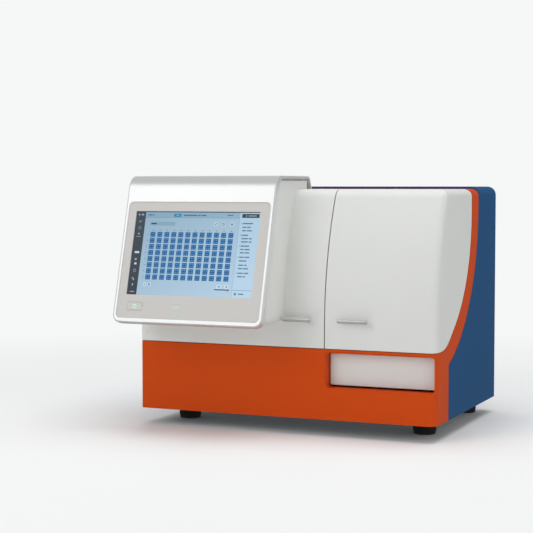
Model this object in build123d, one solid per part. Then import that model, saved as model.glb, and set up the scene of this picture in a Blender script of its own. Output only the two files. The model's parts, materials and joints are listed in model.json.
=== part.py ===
"""Bench-top microplate reader with a lift-up display, a filter door and a plate drawer.

Millimetres, +Z up, -Y is the front. Everything is drawn about the centre of the
housing's footprint at bench level, and written out about the centre of the whole
footprint. Section drawings lie in the YZ plane and count their depth from the
front plane of the housing, so depth 0 is the front of the base.
"""
from build123d import *
from math import acos, asin, cos, degrees, radians, sin, sqrt, tan
import os

# --- housing -------------------------------------------------------------
WIDTH = 532.0
DEPTH = 384.0
TOP_Z = 408.0
FOOT_HEIGHT = 28.0
BASE_TOP_Z = 146.0
WALL = 3.0
GROOVE = 1.2            # shadow gap between two mouldings
SEAT = 0.2              # clearance of a sheet part inside a moulding
RUN_FIT = 0.05          # clearance of a pin, screw or rail in its hole
OVERCUT = 1.0           # how far a cutter runs past the face that it cuts
NEAR = 0.01             # tolerance for picking an edge by its place
CORNER_RIGHT = 16.0
CORNER_SHOULDER = 12.5   # upper right edge of the band, and the right door's edges
CORNER_LEFT = 8.0
CORNER_REAR = 12.0
REAR_STEP = 4.0          # how far the rear housing stands above band and doors
REAR_TOP_Z = TOP_Z + REAR_STEP
REAR_SHOULDER = 15.5
STEP_ROUND = 1.5
SIDE_X = WIDTH / 2
FRONT_Y = -DEPTH / 2
REAR_Y = DEPTH / 2

# --- swept seams between the mouldings, seen from the side -----------------
SEAM_START = 28.0       # depth where the door seam starts to rise
SEAM_ANGLE = 33.0
SEAM_SMALL_R = 91.0
SEAM_LARGE_R = 221.0
DOOR_REAR = 208.0
BAND_FOOT = 73.0        # depth of the front edge of the rear housing at its foot
BAND_REAR = 252.5
BAND_R = 270.5
BAND_CENTRE_UP = 229.0   # from the top of the base
BAND_CENTRE_Z = BASE_TOP_Z + BAND_CENTRE_UP

# --- drawer opening ---------------------------------------------------------
TUNNEL_WIDTH = 184.5
TUNNEL_HEIGHT = 58.0
TUNNEL_SIDE = 4.0       # from the housing's right side to the opening
TUNNEL_LINTEL = 7.0
TUNNEL_DEPTH = 26.0
TUNNEL_CORNER = 5.0
LIP_FLARE = 2.5
TUNNEL_X1 = SIDE_X - TUNNEL_SIDE
TUNNEL_X0 = TUNNEL_X1 - TUNNEL_WIDTH
TUNNEL_Z1 = BASE_TOP_Z - TUNNEL_LINTEL
TUNNEL_Z0 = TUNNEL_Z1 - TUNNEL_HEIGHT
DRAWER_X = (TUNNEL_X0 + TUNNEL_X1) / 2

# --- doors -----------------------------------------------------------------
SPLIT_INSET = 1.9
DOOR_SPLIT_X = TUNNEL_X0 - SPLIT_INSET
DOOR_GAP = 2.0
DOOR_DROP = 0.4
DOOR_TOP_Z = TOP_Z - DOOR_DROP
DOOR_STRAIGHT = 31.0
DOOR_BEND_Z = BASE_TOP_Z + DOOR_STRAIGHT
DOOR_BOW_R = 500.0
DOOR_ROLL_R = 24.0
DOOR_FLANGE = 12.0
NOSE_R = 10.0           # rounded rear edge of a door, centred on its hinge
PIN_R = 3.0
KNUCKLE_R = 5.5
KNUCKLE_LENGTH = 12.0
EAR_THICKNESS = 4.0
SIDE_PLAY = 0.4
LEAF_THICKNESS = 2.0
LEAF_DEPTH = 42.0
LEAF_WIDTH = 34.0
HINGE_INSET = 40.0      # from a door's end to its hinge
HINGE_Y = FRONT_Y + DOOR_REAR - NOSE_R
HINGE_Z = DOOR_TOP_Z - NOSE_R

# --- handles -----------------------------------------------------------------
HANDLE_LENGTH = 53.0
HANDLE_UP = 47.0
HANDLE_Z = BASE_TOP_Z + HANDLE_UP
HANDLE_THICK = 7.5
HANDLE_ROUND = 3.4
HANDLE_REACH = 15.0
HANDLE_POST = 7.0
HANDLE_POST_R = 2.6
HANDLE_LEFT_INSET = 45.1
HANDLE_RIGHT_INSET = 52.4
HANDLE_LEFT_X = DOOR_SPLIT_X - HANDLE_LEFT_INSET
HANDLE_RIGHT_X = DOOR_SPLIT_X + HANDLE_RIGHT_INSET

# --- display head -----------------------------------------------------------
HEAD_PROUD = 2.0
HEAD_STRIP = 70.6       # bare door between the head and the split
HEAD_LEFT_X = -SIDE_X - HEAD_PROUD
HEAD_RIGHT_X = DOOR_SPLIT_X - HEAD_STRIP
HEAD_TILT = 15.5
HEAD_REACH = 98.0       # how far its lower edge stands ahead of the front plane
HEAD_CLEAR = 40.0
HEAD_RISE = 22.0
HEAD_BOTTOM_Z = BASE_TOP_Z + HEAD_CLEAR
HEAD_TOP_Z = TOP_Z + HEAD_RISE
HEAD_REAR = 113.0
HEAD_TAIL = 12.0
RIBBON_FRONT = 12.0
RIBBON_TOP = 5.0
RIBBON_CORNER = 25.0
RIBBON_FOOT = 14.0       # lower corners of the display face
RIBBON_ROUND = 2.5
SHADOW_GAP = 3.0
BLOCK_INSET = 2.5
NECK_INSET = 8.0
BEZEL_MARGIN_SIDE = 6.0
BEZEL_BOTTOM = 8.0
BEZEL_HEIGHT = 200.0
BEZEL_THICK = 3.0
BEZEL_STEP = 0.8
BEZEL_CORNER = 8.0
SCREEN_SIDE = 22.0      # from the head's side to the screen
SCREEN_SHIFT = 1.5      # the screen sits this far left of the middle
SCREEN_WIDTH = HEAD_RIGHT_X - HEAD_LEFT_X - 2 * SCREEN_SIDE
SCREEN_HEIGHT = 144.0
SCREEN_BOTTOM = 48.0
SCREEN_CENTRE_X = (HEAD_LEFT_X + HEAD_RIGHT_X) / 2 - SCREEN_SHIFT
GLASS_THICK = 1.6
LCD_THICK = 6.0
LCD_MARGIN = 6.0
BOARD_THICK = 1.6
BOARD_STANDOFF = 5.0
BUTTON_SIDE = 39.2
BUTTON_X = HEAD_LEFT_X + BUTTON_SIDE
BUTTON_UP = 28.5
BUTTON_WIDTH = 28.0
BUTTON_HEIGHT = 13.5
BUTTON_TRAVEL = 1.5
BUTTON_PLAY = 0.35
BUTTON_STEM = 6.0
LIGHT_SIDE = 116.2
LIGHT_X = HEAD_LEFT_X + LIGHT_SIDE
LIGHT_WIDTH = 15.0
LIGHT_HEIGHT = 10.0

# --- drawer -----------------------------------------------------------------
PANEL_DEPTH = 20.0
PANEL_THICK = 3.5
PANEL_SIDE_GAP = 1.2
PANEL_LOWER_GAP = 3.0
PANEL_UPPER_GAP = 2.0
PANEL_CORNER = 3.0
PLATE_LENGTH = 127.76   # microplate footprint
PLATE_WIDTH = 85.48
PLATE_PLAY = 0.8
RAIL_R = 4.0
RAIL_SPACING = 110.0
RAIL_FRONT = 40.0
RAIL_REAR_ROOM = 94.0
RAIL_REAR = DEPTH - RAIL_REAR_ROOM
RAIL_BRACKET = 8.0
CARRIAGE_UP = 7.0
CARRIAGE_Z = TUNNEL_Z0 + CARRIAGE_UP
CARRIAGE_THICK = 4.0
CARRIAGE_WIDTH = 156.0
CARRIAGE_SHORT = 10.0
CARRIAGE_REAR = RAIL_REAR - CARRIAGE_SHORT
NEST_RISE = 8.0
NEST_RIM = 7.0
NEST_FRONT = 33.0
RAIL_DROP = 18.0
RAIL_Z = CARRIAGE_Z - RAIL_DROP
BLOCK_LENGTH = 20.0
BLOCK_WIDTH = 20.0
BLOCK_UNDER = 10.0
BLOCK_BOTTOM = RAIL_Z - BLOCK_UNDER
BLOCK_SETBACK = 65.0
BLOCK_FIRST = CARRIAGE_REAR - BLOCK_SETBACK
BLOCK_PITCH = 40.0
PULLEY_R = 8.0
PULLEY_FLANGE_R = 10.0
PULLEY_HEIGHT = 10.0
PULLEY_Z0 = RAIL_Z - PULLEY_HEIGHT / 2
PULLEY_FLANGE = 1.0
PULLEY_BORE_R = 2.5
BELT_THICK = 1.5
BELT_HEIGHT = 6.4
MOTOR_BEHIND = 18.0
MOTOR_DEPTH = RAIL_REAR + MOTOR_BEHIND
MOTOR_SIDE = 42.0
CLAMP_SETBACK = 42.0
CLAMP_DEPTH = CARRIAGE_REAR - CLAMP_SETBACK
CLAMP_LENGTH = 14.0
CLAMP_WIDTH = 10.0
CLAMP_PLAY = 0.3
CLAMP_STOP = 1.0        # what is left between clamp and pulley with the drawer out
DRAWER_TRAVEL = 165.0
IDLER_DEPTH = CLAMP_DEPTH - DRAWER_TRAVEL - PULLEY_FLANGE_R - CLAMP_STOP

# --- chassis and insides ---------------------------------------------------
PAN_THICK = 2.0
PAN_FLANGE = 20.0
FOOT_SIDE = 48.0
FOOT_X = SIDE_X - FOOT_SIDE
FOOT_FRONT = 98.0
FOOT_REAR_ROOM = 34.0
FOOT_REAR = DEPTH - FOOT_REAR_ROOM
FOOT_R = 19.5
FOOT_TAPER = 1.5
FOOT_SCREW_R = 2.5
DECK_UP = 4.0
DECK_Z = BASE_TOP_Z + DECK_UP
DECK_THICK = 4.0
DECK_REAR_ROOM = 44.0
DECK_REAR = DEPTH - DECK_REAR_ROOM
POST_R = 5.0
POST_INSET = 22.0
FASCIA_DEPTH = 60.0
FASCIA_DROP = 58.0
FASCIA_TOP_Z = TOP_Z - FASCIA_DROP
FASCIA_THICK = 2.0
BEAM_Z = FASCIA_TOP_Z + FASCIA_THICK
BEAM_HEIGHT = 20.0
BEAM_AHEAD = 22.0
BEAM_BEHIND = 32.0
BEAM_FRONT = DOOR_REAR - BEAM_AHEAD
BEAM_REAR = DOOR_REAR + BEAM_BEHIND
PORT_X = DRAWER_X
PORT_UP = 54.0
PORT_Z = BASE_TOP_Z + PORT_UP
PORT_PITCH = 44.0
PORT_WIDTH = 60.0
PORT_HEIGHT = 12.0
PORT_PLAY = 0.5
SLIDE_PROUD = 12.0      # how far a filter slide stands ahead of the inner fascia
SLIDE_REACH = 120.0
CHAMBER_FRONT = 24.0    # from the inner fascia
CHAMBER_REAR = 168.0
OPTICS_SIDE = 26.0
OPTICS_GAP = 20.0
OPTICS_TO_CHAMBER = 30.0
OPTICS_X0 = -SIDE_X + OPTICS_SIDE
OPTICS_X1 = PORT_X - PORT_WIDTH - OPTICS_TO_CHAMBER
OPTICS_WIDTH = (OPTICS_X1 - OPTICS_X0 - OPTICS_GAP) / 2
OPTICS_AHEAD = 30.0
OPTICS_BEHIND = 70.0
OPTICS_FRONT = FASCIA_DEPTH + OPTICS_AHEAD
OPTICS_REAR = DECK_REAR - OPTICS_BEHIND
OPTICS_HEIGHT = 88.0
OPTICS_WALL = 6.0
LAMP_SIZE = 50.0
LAMP_FINS = 5
TUBE_R = 16.0
TUBE_LENGTH = 60.0
TUBE_BEHIND = 96.0
SUPPLY_SIDE = 26.0
SUPPLY_WIDTH = 110.0
SUPPLY_LENGTH = 150.0
SUPPLY_REAR_ROOM = 64.0
SUPPLY_HEIGHT = 50.0
SUPPLY_SLOTS = 9
SUPPLY_X0 = -SIDE_X + SUPPLY_SIDE
SUPPLY_FRONT = DEPTH - SUPPLY_REAR_ROOM - SUPPLY_LENGTH
MAIN_SIDE = 7.5
MAIN_TO_SUPPLY = 30.0
MAIN_FRONT = 110.0
MAIN_REAR_ROOM = 10.0
MAIN_X0 = SUPPLY_X0 + SUPPLY_WIDTH + MAIN_TO_SUPPLY
MAIN_X1 = TUNNEL_X0 - MAIN_SIDE
MAIN_REAR = DECK_REAR - MAIN_REAR_ROOM
MAIN_STANDOFF = 10.0
CHIP_SIDE = 18.0
STRIKE_THICK = 2.0
MAGNET_HEIGHT = 14.0

# --- rear panel ----------------------------------------------------------------
REAR_PANEL_SIDE = 66.0
REAR_PANEL_WIDTH = WIDTH - 2 * REAR_PANEL_SIDE
REAR_PANEL_HEIGHT = 130.0
REAR_PANEL_UP = 4.0
REAR_PANEL_Z = BASE_TOP_Z + REAR_PANEL_UP
REAR_LAP = 10.0
SCREW_HEAD = 1.6
FAN_SIZE = 80.0
FAN_SIDE = 70.0
FAN_X = REAR_PANEL_WIDTH / 2 - FAN_SIDE
FAN_THICK = 25.0
FAN_BLADES = 7
FAN_HUB_R = 16.0
FAN_TIP_GAP = 1.5
FAN_AXLE_R = 1.5
BLADE_PITCH = 38.0
BLADE_CHORD = 17.0
BLADE_THICK = 1.6
GRILLE_RINGS = 4
GRILLE_BAR = 2.5
INLET_SIDE = 50.0
INLET_X = -REAR_PANEL_WIDTH / 2 + INLET_SIDE
INLET_WIDTH = 27.0
INLET_HEIGHT = 19.5
INLET_DEPTH = 18.0
INLET_RIM = 2.0
CONTACT_SIDE = 7.0
CONTACT_LOW = 2.0
CONTACT_HIGH = 3.0
CONTACT_HALF = 1.0
SWITCH_PITCH = 40.0
SWITCH_X = INLET_X + SWITCH_PITCH
SWITCH_WIDTH = 13.0
SWITCH_HEIGHT = 19.0
SWITCH_WALL = 2.0
SWITCH_LIP = 1.0
SWITCH_ANGLE = 10.0
SWITCH_PIVOT_R = 1.5
SOCKETS_PITCH = 110.0
SOCKETS_X = INLET_X + SOCKETS_PITCH
SOCKET_STEP = 20.0
SOCKET_WALL = 1.0
SOCKET_REACH = 16.0
FLAT_SOCKET_WIDTH = 14.0
FLAT_SOCKET_HEIGHT = 7.0
SQUARE_SOCKET_WIDTH = 12.0
SQUARE_SOCKET_HEIGHT = 11.0
NET_SOCKET_WIDTH = 16.0
NET_SOCKET_HEIGHT = 13.0
NET_SOCKET_ROOM = 2.0
IO_BOARD_WIDTH = 96.0
IO_BOARD_HEIGHT = 40.0

# --- origin of the finished model -------------------------------------------------
HEAD_EDGE = RIBBON_ROUND * (cos(radians(HEAD_TILT)) + sin(radians(HEAD_TILT)) - 1)
ORIGIN_X = (HEAD_LEFT_X + SIDE_X) / 2
ORIGIN_Y = FRONT_Y + (HEAD_EDGE - HEAD_REACH + DEPTH + SCREW_HEAD) / 2


# --- small helpers -------------------------------------------------------------
def depth(value):
    """Y of a place that lies this far behind the front plane."""
    return FRONT_Y + value


def block(x0, x1, y0, y1, z0, z1):
    """Box between two opposite corners."""
    size = Box(x1 - x0, y1 - y0, z1 - z0)
    return Pos((x0 + x1) / 2, (y0 + y1) / 2, (z0 + z1) / 2) * size


def prism_x(section, x0, x1):
    """Side section (depth, Z) pulled along X."""
    return Pos(0, FRONT_Y, 0) * extrude(Plane.YZ.offset(x0) * section, amount=x1 - x0)


def rod(radius, start, length, axis):
    """Cylinder from a start point along +X, +Y or +Z."""
    plane = {"x": Plane.YZ, "y": Plane.XZ, "z": Plane.XY}[axis]
    sign = -1 if axis == "y" else 1
    return Pos(*start) * extrude(plane * Circle(radius), amount=sign * length)


def outer_edges(solid, plane_x, skip):
    """Edges of a solid on one X plane, but not those that a rule leaves out."""
    on_plane = [e for e in solid.edges() if abs(e.center().X - plane_x) < NEAR]
    flat = [e for e in on_plane if abs(e.bounding_box().size.X) < NEAR]
    return [e for e in flat if not skip(e.center())]


# --- housing block and its seams ---------------------------------------------
def housing_block(inset, top_z=TOP_Z, shoulder=CORNER_SHOULDER):
    """Outer form of the whole housing, or its inside when inset by a wall."""
    low = FOOT_HEIGHT - inset
    solid = block(-SIDE_X + inset, SIDE_X - inset, FRONT_Y + inset, REAR_Y - inset, low, top_z - inset)
    front = solid.edges().filter_by(Axis.Z).group_by(Axis.Y)[0].sort_by(Axis.X)
    solid = fillet(front[-1], CORNER_RIGHT - inset)
    right = solid.edges().filter_by(Axis.Y).group_by(Axis.Z)[-1].sort_by(Axis.X)[-1]
    solid = fillet(right, shoulder - inset)
    solid = fillet(solid.edges().filter_by(Axis.Z).group_by(Axis.Y)[-1], CORNER_REAR - inset)
    left_pick = [e for e in solid.edges() if abs(e.center().X + SIDE_X - inset) < NEAR]
    top = top_z - inset - NEAR
    front_y = FRONT_Y + inset + NEAR
    left_pick = [e for e in left_pick if e.center().Z > top or e.center().Y < front_y]
    left_pick = [e for e in left_pick if e.center().Z > low + NEAR]
    solid = fillet(left_pick, CORNER_LEFT - inset)
    return solid


def seam_run():
    """Straight length between the two arcs of the door seam."""
    turn = radians(SEAM_ANGLE)
    arcs = SEAM_SMALL_R * sin(turn) + SEAM_LARGE_R * (1 - sin(turn))
    return (DOOR_REAR - SEAM_START - arcs) / cos(turn)


def seam_path(offset):
    """Door seam from the front level up to the upright at the door's rear."""
    small = JernArc((SEAM_START, BASE_TOP_Z - offset), (1, 0), SEAM_SMALL_R + offset, SEAM_ANGLE)
    run = Line(small @ 1, (small @ 1) + (small % 1) * seam_run())
    large = JernArc(run @ 1, run % 1, SEAM_LARGE_R + offset, 90 - SEAM_ANGLE)
    return [small, run, large]


def band_arc(offset):
    """Rear edge of the coloured band, from its foot upright to its top upright."""
    centre_y = BAND_REAR - BAND_R
    radius = BAND_R + offset
    start = -degrees(acos((BAND_FOOT + offset - centre_y) / radius))
    return CenterArc((centre_y, BAND_CENTRE_Z), radius, start, -start)


def base_section():
    """Side section of the base moulding with its band."""
    seam = seam_path(GROOVE)
    arc = band_arc(0)
    over = 2 * TOP_Z
    sill = (-WALL, BASE_TOP_Z - GROOVE)
    front = Polyline((BAND_FOOT, FOOT_HEIGHT), (-WALL, FOOT_HEIGHT), sill, seam[0] @ 0)
    top = Polyline(seam[2] @ 1, (DOOR_REAR + GROOVE, over), (BAND_REAR, over), arc @ 1)
    foot = Line(arc @ 0, (BAND_FOOT, FOOT_HEIGHT))
    return make_face([front, *seam, top, arc, foot])


def rear_section():
    """Side section of the rear housing."""
    arc = band_arc(GROOVE)
    over = 2 * REAR_TOP_Z
    foot_y = BAND_FOOT + GROOVE
    outer = Polyline(arc @ 1, (BAND_REAR + GROOVE, over), (DEPTH + WALL, over), (DEPTH + WALL, FOOT_HEIGHT),
                     (foot_y, FOOT_HEIGHT), arc @ 0)
    return make_face([arc, outer])


def door_region():
    """Side region that belongs to the doors: all that lies ahead of the seam."""
    seam = seam_path(0)
    over = TOP_Z + HEAD_TOP_Z
    front = Polyline((-HEAD_REACH * 2, BASE_TOP_Z), seam[0] @ 0)
    rest = Polyline(seam[2] @ 1, (DOOR_REAR, over), (-HEAD_REACH * 2, over), (-HEAD_REACH * 2, BASE_TOP_Z))
    return make_face([front, *seam, rest])


# --- base moulding -----------------------------------------------------------
def drawer_mouth(grow, front, rear):
    """Rounded block on the drawer opening's outline, grown on every side."""
    width = TUNNEL_X1 - TUNNEL_X0 + 2 * grow
    height = TUNNEL_Z1 - TUNNEL_Z0 + 2 * grow
    outline = RectangleRounded(width, height, TUNNEL_CORNER + grow)
    origin = (DRAWER_X, depth(rear), (TUNNEL_Z0 + TUNNEL_Z1) / 2)
    plane = Plane(origin=origin, z_dir=(0, -1, 0), x_dir=(1, 0, 0))
    return extrude(plane * outline, amount=rear - front)


def mouth_flare():
    """Funnel that bevels the lip of the drawer opening."""
    width = TUNNEL_X1 - TUNNEL_X0 + 2 * LIP_FLARE
    height = TUNNEL_Z1 - TUNNEL_Z0 + 2 * LIP_FLARE
    outline = RectangleRounded(width, height, TUNNEL_CORNER + LIP_FLARE)
    plane = Plane(origin=(DRAWER_X, FRONT_Y, (TUNNEL_Z0 + TUNNEL_Z1) / 2), z_dir=(0, 1, 0), x_dir=(1, 0, 0))
    return extrude(plane * outline, amount=LIP_FLARE, taper=45)


def base_moulding():
    """Coloured base with its front, low sides, band, deck and drawer tunnel."""
    whole = housing_block(0)
    shell = whole & prism_x(base_section(), -SIDE_X, SIDE_X)
    shell = shell - housing_block(WALL)
    deck_top = BASE_TOP_Z - GROOVE
    inner = SIDE_X - WALL
    deck = block(-inner, inner, depth(WALL), depth(FASCIA_DEPTH + FASCIA_THICK), deck_top - WALL, deck_top)
    tunnel = drawer_mouth(WALL, 0, TUNNEL_DEPTH) & whole
    solid = shell + (deck & whole) + tunnel
    solid = solid - drawer_mouth(0, -WALL, TUNNEL_DEPTH) - mouth_flare()
    return solid


# --- rear housing ------------------------------------------------------------
def step_corner():
    """Sharp upper front corner that the rounded step of the rear housing leaves out."""
    edge_y = BAND_REAR + GROOVE
    square = Pos(edge_y, REAR_TOP_Z) * Rectangle(2 * STEP_ROUND, 2 * STEP_ROUND)
    return square - Pos(edge_y + STEP_ROUND, REAR_TOP_Z - STEP_ROUND) * Circle(STEP_ROUND)


def rear_housing():
    """Blue rear shell that stands a step above the band, with the opening that the rear panel closes."""
    shell = housing_block(0, REAR_TOP_Z, REAR_SHOULDER) & prism_x(rear_section(), -SIDE_X, SIDE_X)
    behind_step = block(-SIDE_X, SIDE_X, depth(BAND_REAR + GROOVE + WALL), REAR_Y, FOOT_HEIGHT, REAR_TOP_Z)
    shell = shell - housing_block(WALL) - (housing_block(WALL, REAR_TOP_Z, REAR_SHOULDER) & behind_step)
    shell = shell - prism_x(step_corner(), -SIDE_X, SIDE_X)
    half_w = REAR_PANEL_WIDTH / 2 - REAR_LAP
    half_h = REAR_PANEL_HEIGHT / 2 - REAR_LAP
    through = (REAR_Y - 2 * WALL, REAR_Y + WALL)
    window = block(-half_w, half_w, *through, REAR_PANEL_Z - half_h, REAR_PANEL_Z + half_h)
    window = fillet(window.edges().filter_by(Axis.Y), TUNNEL_CORNER)
    return shell - window


# --- doors ---------------------------------------------------------------------
def door_profile(inset, low_z):
    """Front line of a door from a height near its lower edge to its level top."""
    low = Line((inset, low_z), (inset, DOOR_BEND_Z))
    roll_drop = DOOR_TOP_Z - DOOR_BEND_Z - DOOR_ROLL_R
    bow = degrees(asin(roll_drop / (DOOR_BOW_R - DOOR_ROLL_R)))
    bowed = JernArc(low @ 1, (0, 1), DOOR_BOW_R - inset, -bow)
    roll = JernArc(bowed @ 1, bowed % 1, DOOR_ROLL_R - inset, bow - 90)
    return [low, bowed, roll]


def nose_corner(inset, reach):
    """Section of the square corner that the rounded hinge nose leaves out."""
    hub = (DOOR_REAR - NOSE_R, DOOR_TOP_Z - NOSE_R)
    square = Pos(hub[0] + reach / 2, hub[1] + NOSE_R / 2) * Rectangle(reach, NOSE_R)
    return square - Pos(*hub) * Circle(NOSE_R - inset)


def door_form(inset, x0, x1, low_z, rear):
    """Door form with a rounded outer side edge: its outside, or its inside when inset."""
    line = door_profile(inset, low_z)
    back = Polyline(line[2] @ 1, (rear, DOOR_TOP_Z - inset), (rear, low_z), line[0] @ 0)
    solid = prism_x(make_face([*line, back]), x0, x1)
    right = x1 > SIDE_X - 2 * WALL
    side = x1 if right else x0
    radius = CORNER_SHOULDER if right else CORNER_LEFT

    def skip(place):
        return place.Z < low_z + NEAR or place.Y > depth(rear) - NEAR

    return fillet(outer_edges(solid, side, skip), radius - inset)


def door_blank(x0, x1):
    """Solid door with its rounded hinge nose."""
    solid = door_form(0, x0, x1, BASE_TOP_Z, DOOR_REAR)
    return solid - prism_x(nose_corner(0, NOSE_R), x0, x1)


def door_hollow(x0, x1):
    """Space under a door's skin, open downwards and to the rear."""
    solid = door_form(WALL, x0, x1, BASE_TOP_Z - WALL, DOOR_REAR + WALL)
    return solid - prism_x(nose_corner(WALL, NOSE_R + WALL), x0, x1)


def door_inside(x0, x1):
    """Space inside the narrow flange at the split, sharp-edged."""
    low_z = BASE_TOP_Z - WALL
    line = door_profile(DOOR_FLANGE, low_z)
    far = DOOR_REAR + WALL
    back = Polyline(line[2] @ 1, (far, DOOR_TOP_Z - DOOR_FLANGE), (far, low_z), line[0] @ 0)
    return prism_x(make_face([*line, back]), x0, x1)


def door_shell(x0, x1):
    """Moulded door: skin, outer side wall and a narrow flange at the split."""
    solid = door_blank(x0, x1) & prism_x(door_region(), x0, x1)
    solid = solid - door_hollow(x0 + WALL, x1 - WALL)
    right = x1 > SIDE_X - WALL
    split = (x0 - WALL, x0 + 2 * WALL) if right else (x1 - 2 * WALL, x1 + WALL)
    return solid - door_inside(*split)


def right_door():
    """Door in front of the filter slides."""
    return door_shell(DOOR_SPLIT_X + DOOR_GAP / 2, SIDE_X)


# --- display head on the left door ---------------------------------------------
def face_point(up, inward):
    """Section point on the tilted display face: up from its lower edge, then inward."""
    tilt = radians(HEAD_TILT)
    y = -HEAD_REACH + up * sin(tilt) + inward * cos(tilt)
    z = HEAD_BOTTOM_Z + up * cos(tilt) - inward * sin(tilt)
    return (y, z)


def face_at_height(z, inward):
    """Section point where a line parallel to the display face reaches a height."""
    start = face_point(0, inward)
    return (start[0] + (z - start[1]) * tan(radians(HEAD_TILT)), z)


def face_plane(inward):
    """Plane parallel to the display face: X to the right, Y up the face, Z outward."""
    y, z = face_point(0, inward)
    tilt = radians(HEAD_TILT)
    return Plane(origin=(0, depth(y), z), x_dir=(1, 0, 0), z_dir=(0, -cos(tilt), sin(tilt)))


def on_face(sketch, inward, thickness):
    """Plate that starts at a depth behind the face and grows inward."""
    return extrude(face_plane(inward) * sketch, amount=-thickness)


def bezel_centre():
    """Centre of the bezel plate on the face."""
    return ((HEAD_LEFT_X + HEAD_RIGHT_X) / 2, BEZEL_BOTTOM + BEZEL_HEIGHT / 2)


def bezel_outline(grow):
    """Rounded outline of the bezel plate."""
    width = HEAD_RIGHT_X - HEAD_LEFT_X - 2 * BEZEL_MARGIN_SIDE + 2 * grow
    return Pos(*bezel_centre()) * RectangleRounded(width, BEZEL_HEIGHT + 2 * grow, BEZEL_CORNER + grow)


def screen_outline(grow):
    """Outline of the visible screen."""
    centre = (SCREEN_CENTRE_X, SCREEN_BOTTOM + SCREEN_HEIGHT / 2)
    return Pos(*centre) * Rectangle(SCREEN_WIDTH + 2 * grow, SCREEN_HEIGHT + 2 * grow)


def button_outline(grow):
    """Rounded outline of the power button."""
    shape = RectangleRounded(BUTTON_WIDTH + 2 * grow, BUTTON_HEIGHT + 2 * grow, BUTTON_HEIGHT / 4 + grow)
    return Pos(BUTTON_X, BUTTON_UP) * shape


def light_outline(grow):
    """Rounded outline of the status light."""
    shape = RectangleRounded(LIGHT_WIDTH + 2 * grow, LIGHT_HEIGHT + 2 * grow, LIGHT_HEIGHT / 4 + grow)
    return Pos(LIGHT_X, BUTTON_UP) * shape


def ribbon_section():
    """Fascia bent over the head: thick in front, thin on top, turned down at the rear."""
    under = HEAD_TOP_Z - RIBBON_TOP
    lean = HEAD_TAIL / (HEAD_TOP_Z - DOOR_TOP_Z)
    seat = DOOR_TOP_Z + SEAT
    tail = HEAD_REAR + lean * (HEAD_TOP_Z - seat)
    inner = RIBBON_CORNER - RIBBON_FRONT / 2
    outside = [face_point(0, 0), face_at_height(HEAD_TOP_Z, 0), (HEAD_REAR, HEAD_TOP_Z), (tail, seat)]
    bend = (HEAD_REAR - RIBBON_TOP + lean * RIBBON_TOP, under)
    roll = face_at_height(under, RIBBON_FRONT)
    inside = [(tail - RIBBON_TOP, seat), bend, roll, face_point(0, RIBBON_FRONT)]
    outer = FilletPolyline(*outside, radius=[RIBBON_CORNER, 2 * RIBBON_TOP])
    under_side = FilletPolyline(*inside, radius=[RIBBON_TOP, inner])
    return make_face([outer, Line(outside[3], inside[0]), under_side, Line(inside[3], outside[0])])


def ribbon_outline():
    """Outline of the display face with rounded lower corners, open-ended above the roll."""
    width = HEAD_RIGHT_X - HEAD_LEFT_X
    height = 2 * (HEAD_TOP_Z - HEAD_BOTTOM_Z)
    sheet = Pos((HEAD_LEFT_X + HEAD_RIGHT_X) / 2, height / 2) * Rectangle(width, height)
    return fillet(sheet.vertices().group_by(Axis.Y)[0], RIBBON_FOOT)


def ribbon_blank():
    """Bent fascia with rounded lower corners and a soft outer edge."""
    solid = prism_x(ribbon_section(), HEAD_LEFT_X, HEAD_RIGHT_X)
    solid = solid & on_face(ribbon_outline(), -WALL, HEAD_REACH + DEPTH)
    front = solid.faces().filter_by(face_plane(0)).sort_by(Axis.Y)[0]
    return fillet(front.edges(), RIBBON_ROUND)


def head_section(gap, front, wall):
    """Section of the moulded block behind the ribbon, closed inside the door."""
    top = HEAD_TOP_Z - RIBBON_TOP - gap - wall
    rear = HEAD_REAR - RIBBON_TOP - gap - wall
    foot = face_point(RIBBON_FRONT / 2 + wall, front)
    heel = (2 * DOOR_ROLL_R, foot[1])
    corner = RIBBON_CORNER - RIBBON_FRONT / 2 - gap
    points = [foot, face_at_height(top, front), (rear, top), (rear, DOOR_TOP_Z - 2 * WALL), heel]
    line = FilletPolyline(*points, radius=[corner, GROOVE, GROOVE])
    return make_face([line, Line(heel, foot)])


def rounded_under(solid, radius):
    """The head's block with its two lower side edges rounded."""
    return fillet(solid.edges().filter_by(Axis.Y).group_by(Axis.Z)[0], radius)


def head_block(door_body):
    """Hollow block that carries the display, cut off at the door's own skin."""
    body = prism_x(head_section(SHADOW_GAP, RIBBON_FRONT + SHADOW_GAP, 0), *head_span(BLOCK_INSET))
    body = rounded_under(body, RIBBON_FOOT - BLOCK_INSET)
    neck = prism_x(head_section(0, RIBBON_FRONT, 0), *head_span(NECK_INSET))
    neck = rounded_under(neck, RIBBON_FOOT - NECK_INSET)
    hollow = prism_x(head_section(SHADOW_GAP, RIBBON_FRONT - WALL, WALL), *head_span(NECK_INSET + WALL))
    return body + neck - hollow - door_body


def head_span(inset):
    """X range of the display head, inset on both sides."""
    return (HEAD_LEFT_X + inset, HEAD_RIGHT_X - inset)


def left_door():
    """Door that carries the display head."""
    x0 = -SIDE_X
    x1 = DOOR_SPLIT_X - DOOR_GAP / 2
    return door_shell(x0, x1) + head_block(door_blank(x0, x1))


def display_fascia():
    """Satin ribbon with a stepped opening for the bezel plate."""
    solid = ribbon_blank()
    ledge = BEZEL_STEP + BEZEL_THICK
    pocket = on_face(bezel_outline(SEAT), -WALL, WALL + ledge)
    window = on_face(bezel_outline(-BEZEL_STEP * 4), ledge - WALL, RIBBON_FRONT + WALL)
    return solid - pocket - window


def bezel_plate():
    """Grey plate round the screen, with holes for the button and the status light."""
    plate = on_face(bezel_outline(0), BEZEL_STEP, BEZEL_THICK)
    cut = screen_outline(0) + button_outline(BUTTON_PLAY) + light_outline(SEAT)
    return plate - on_face(cut, -WALL, WALL * 3)


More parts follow.
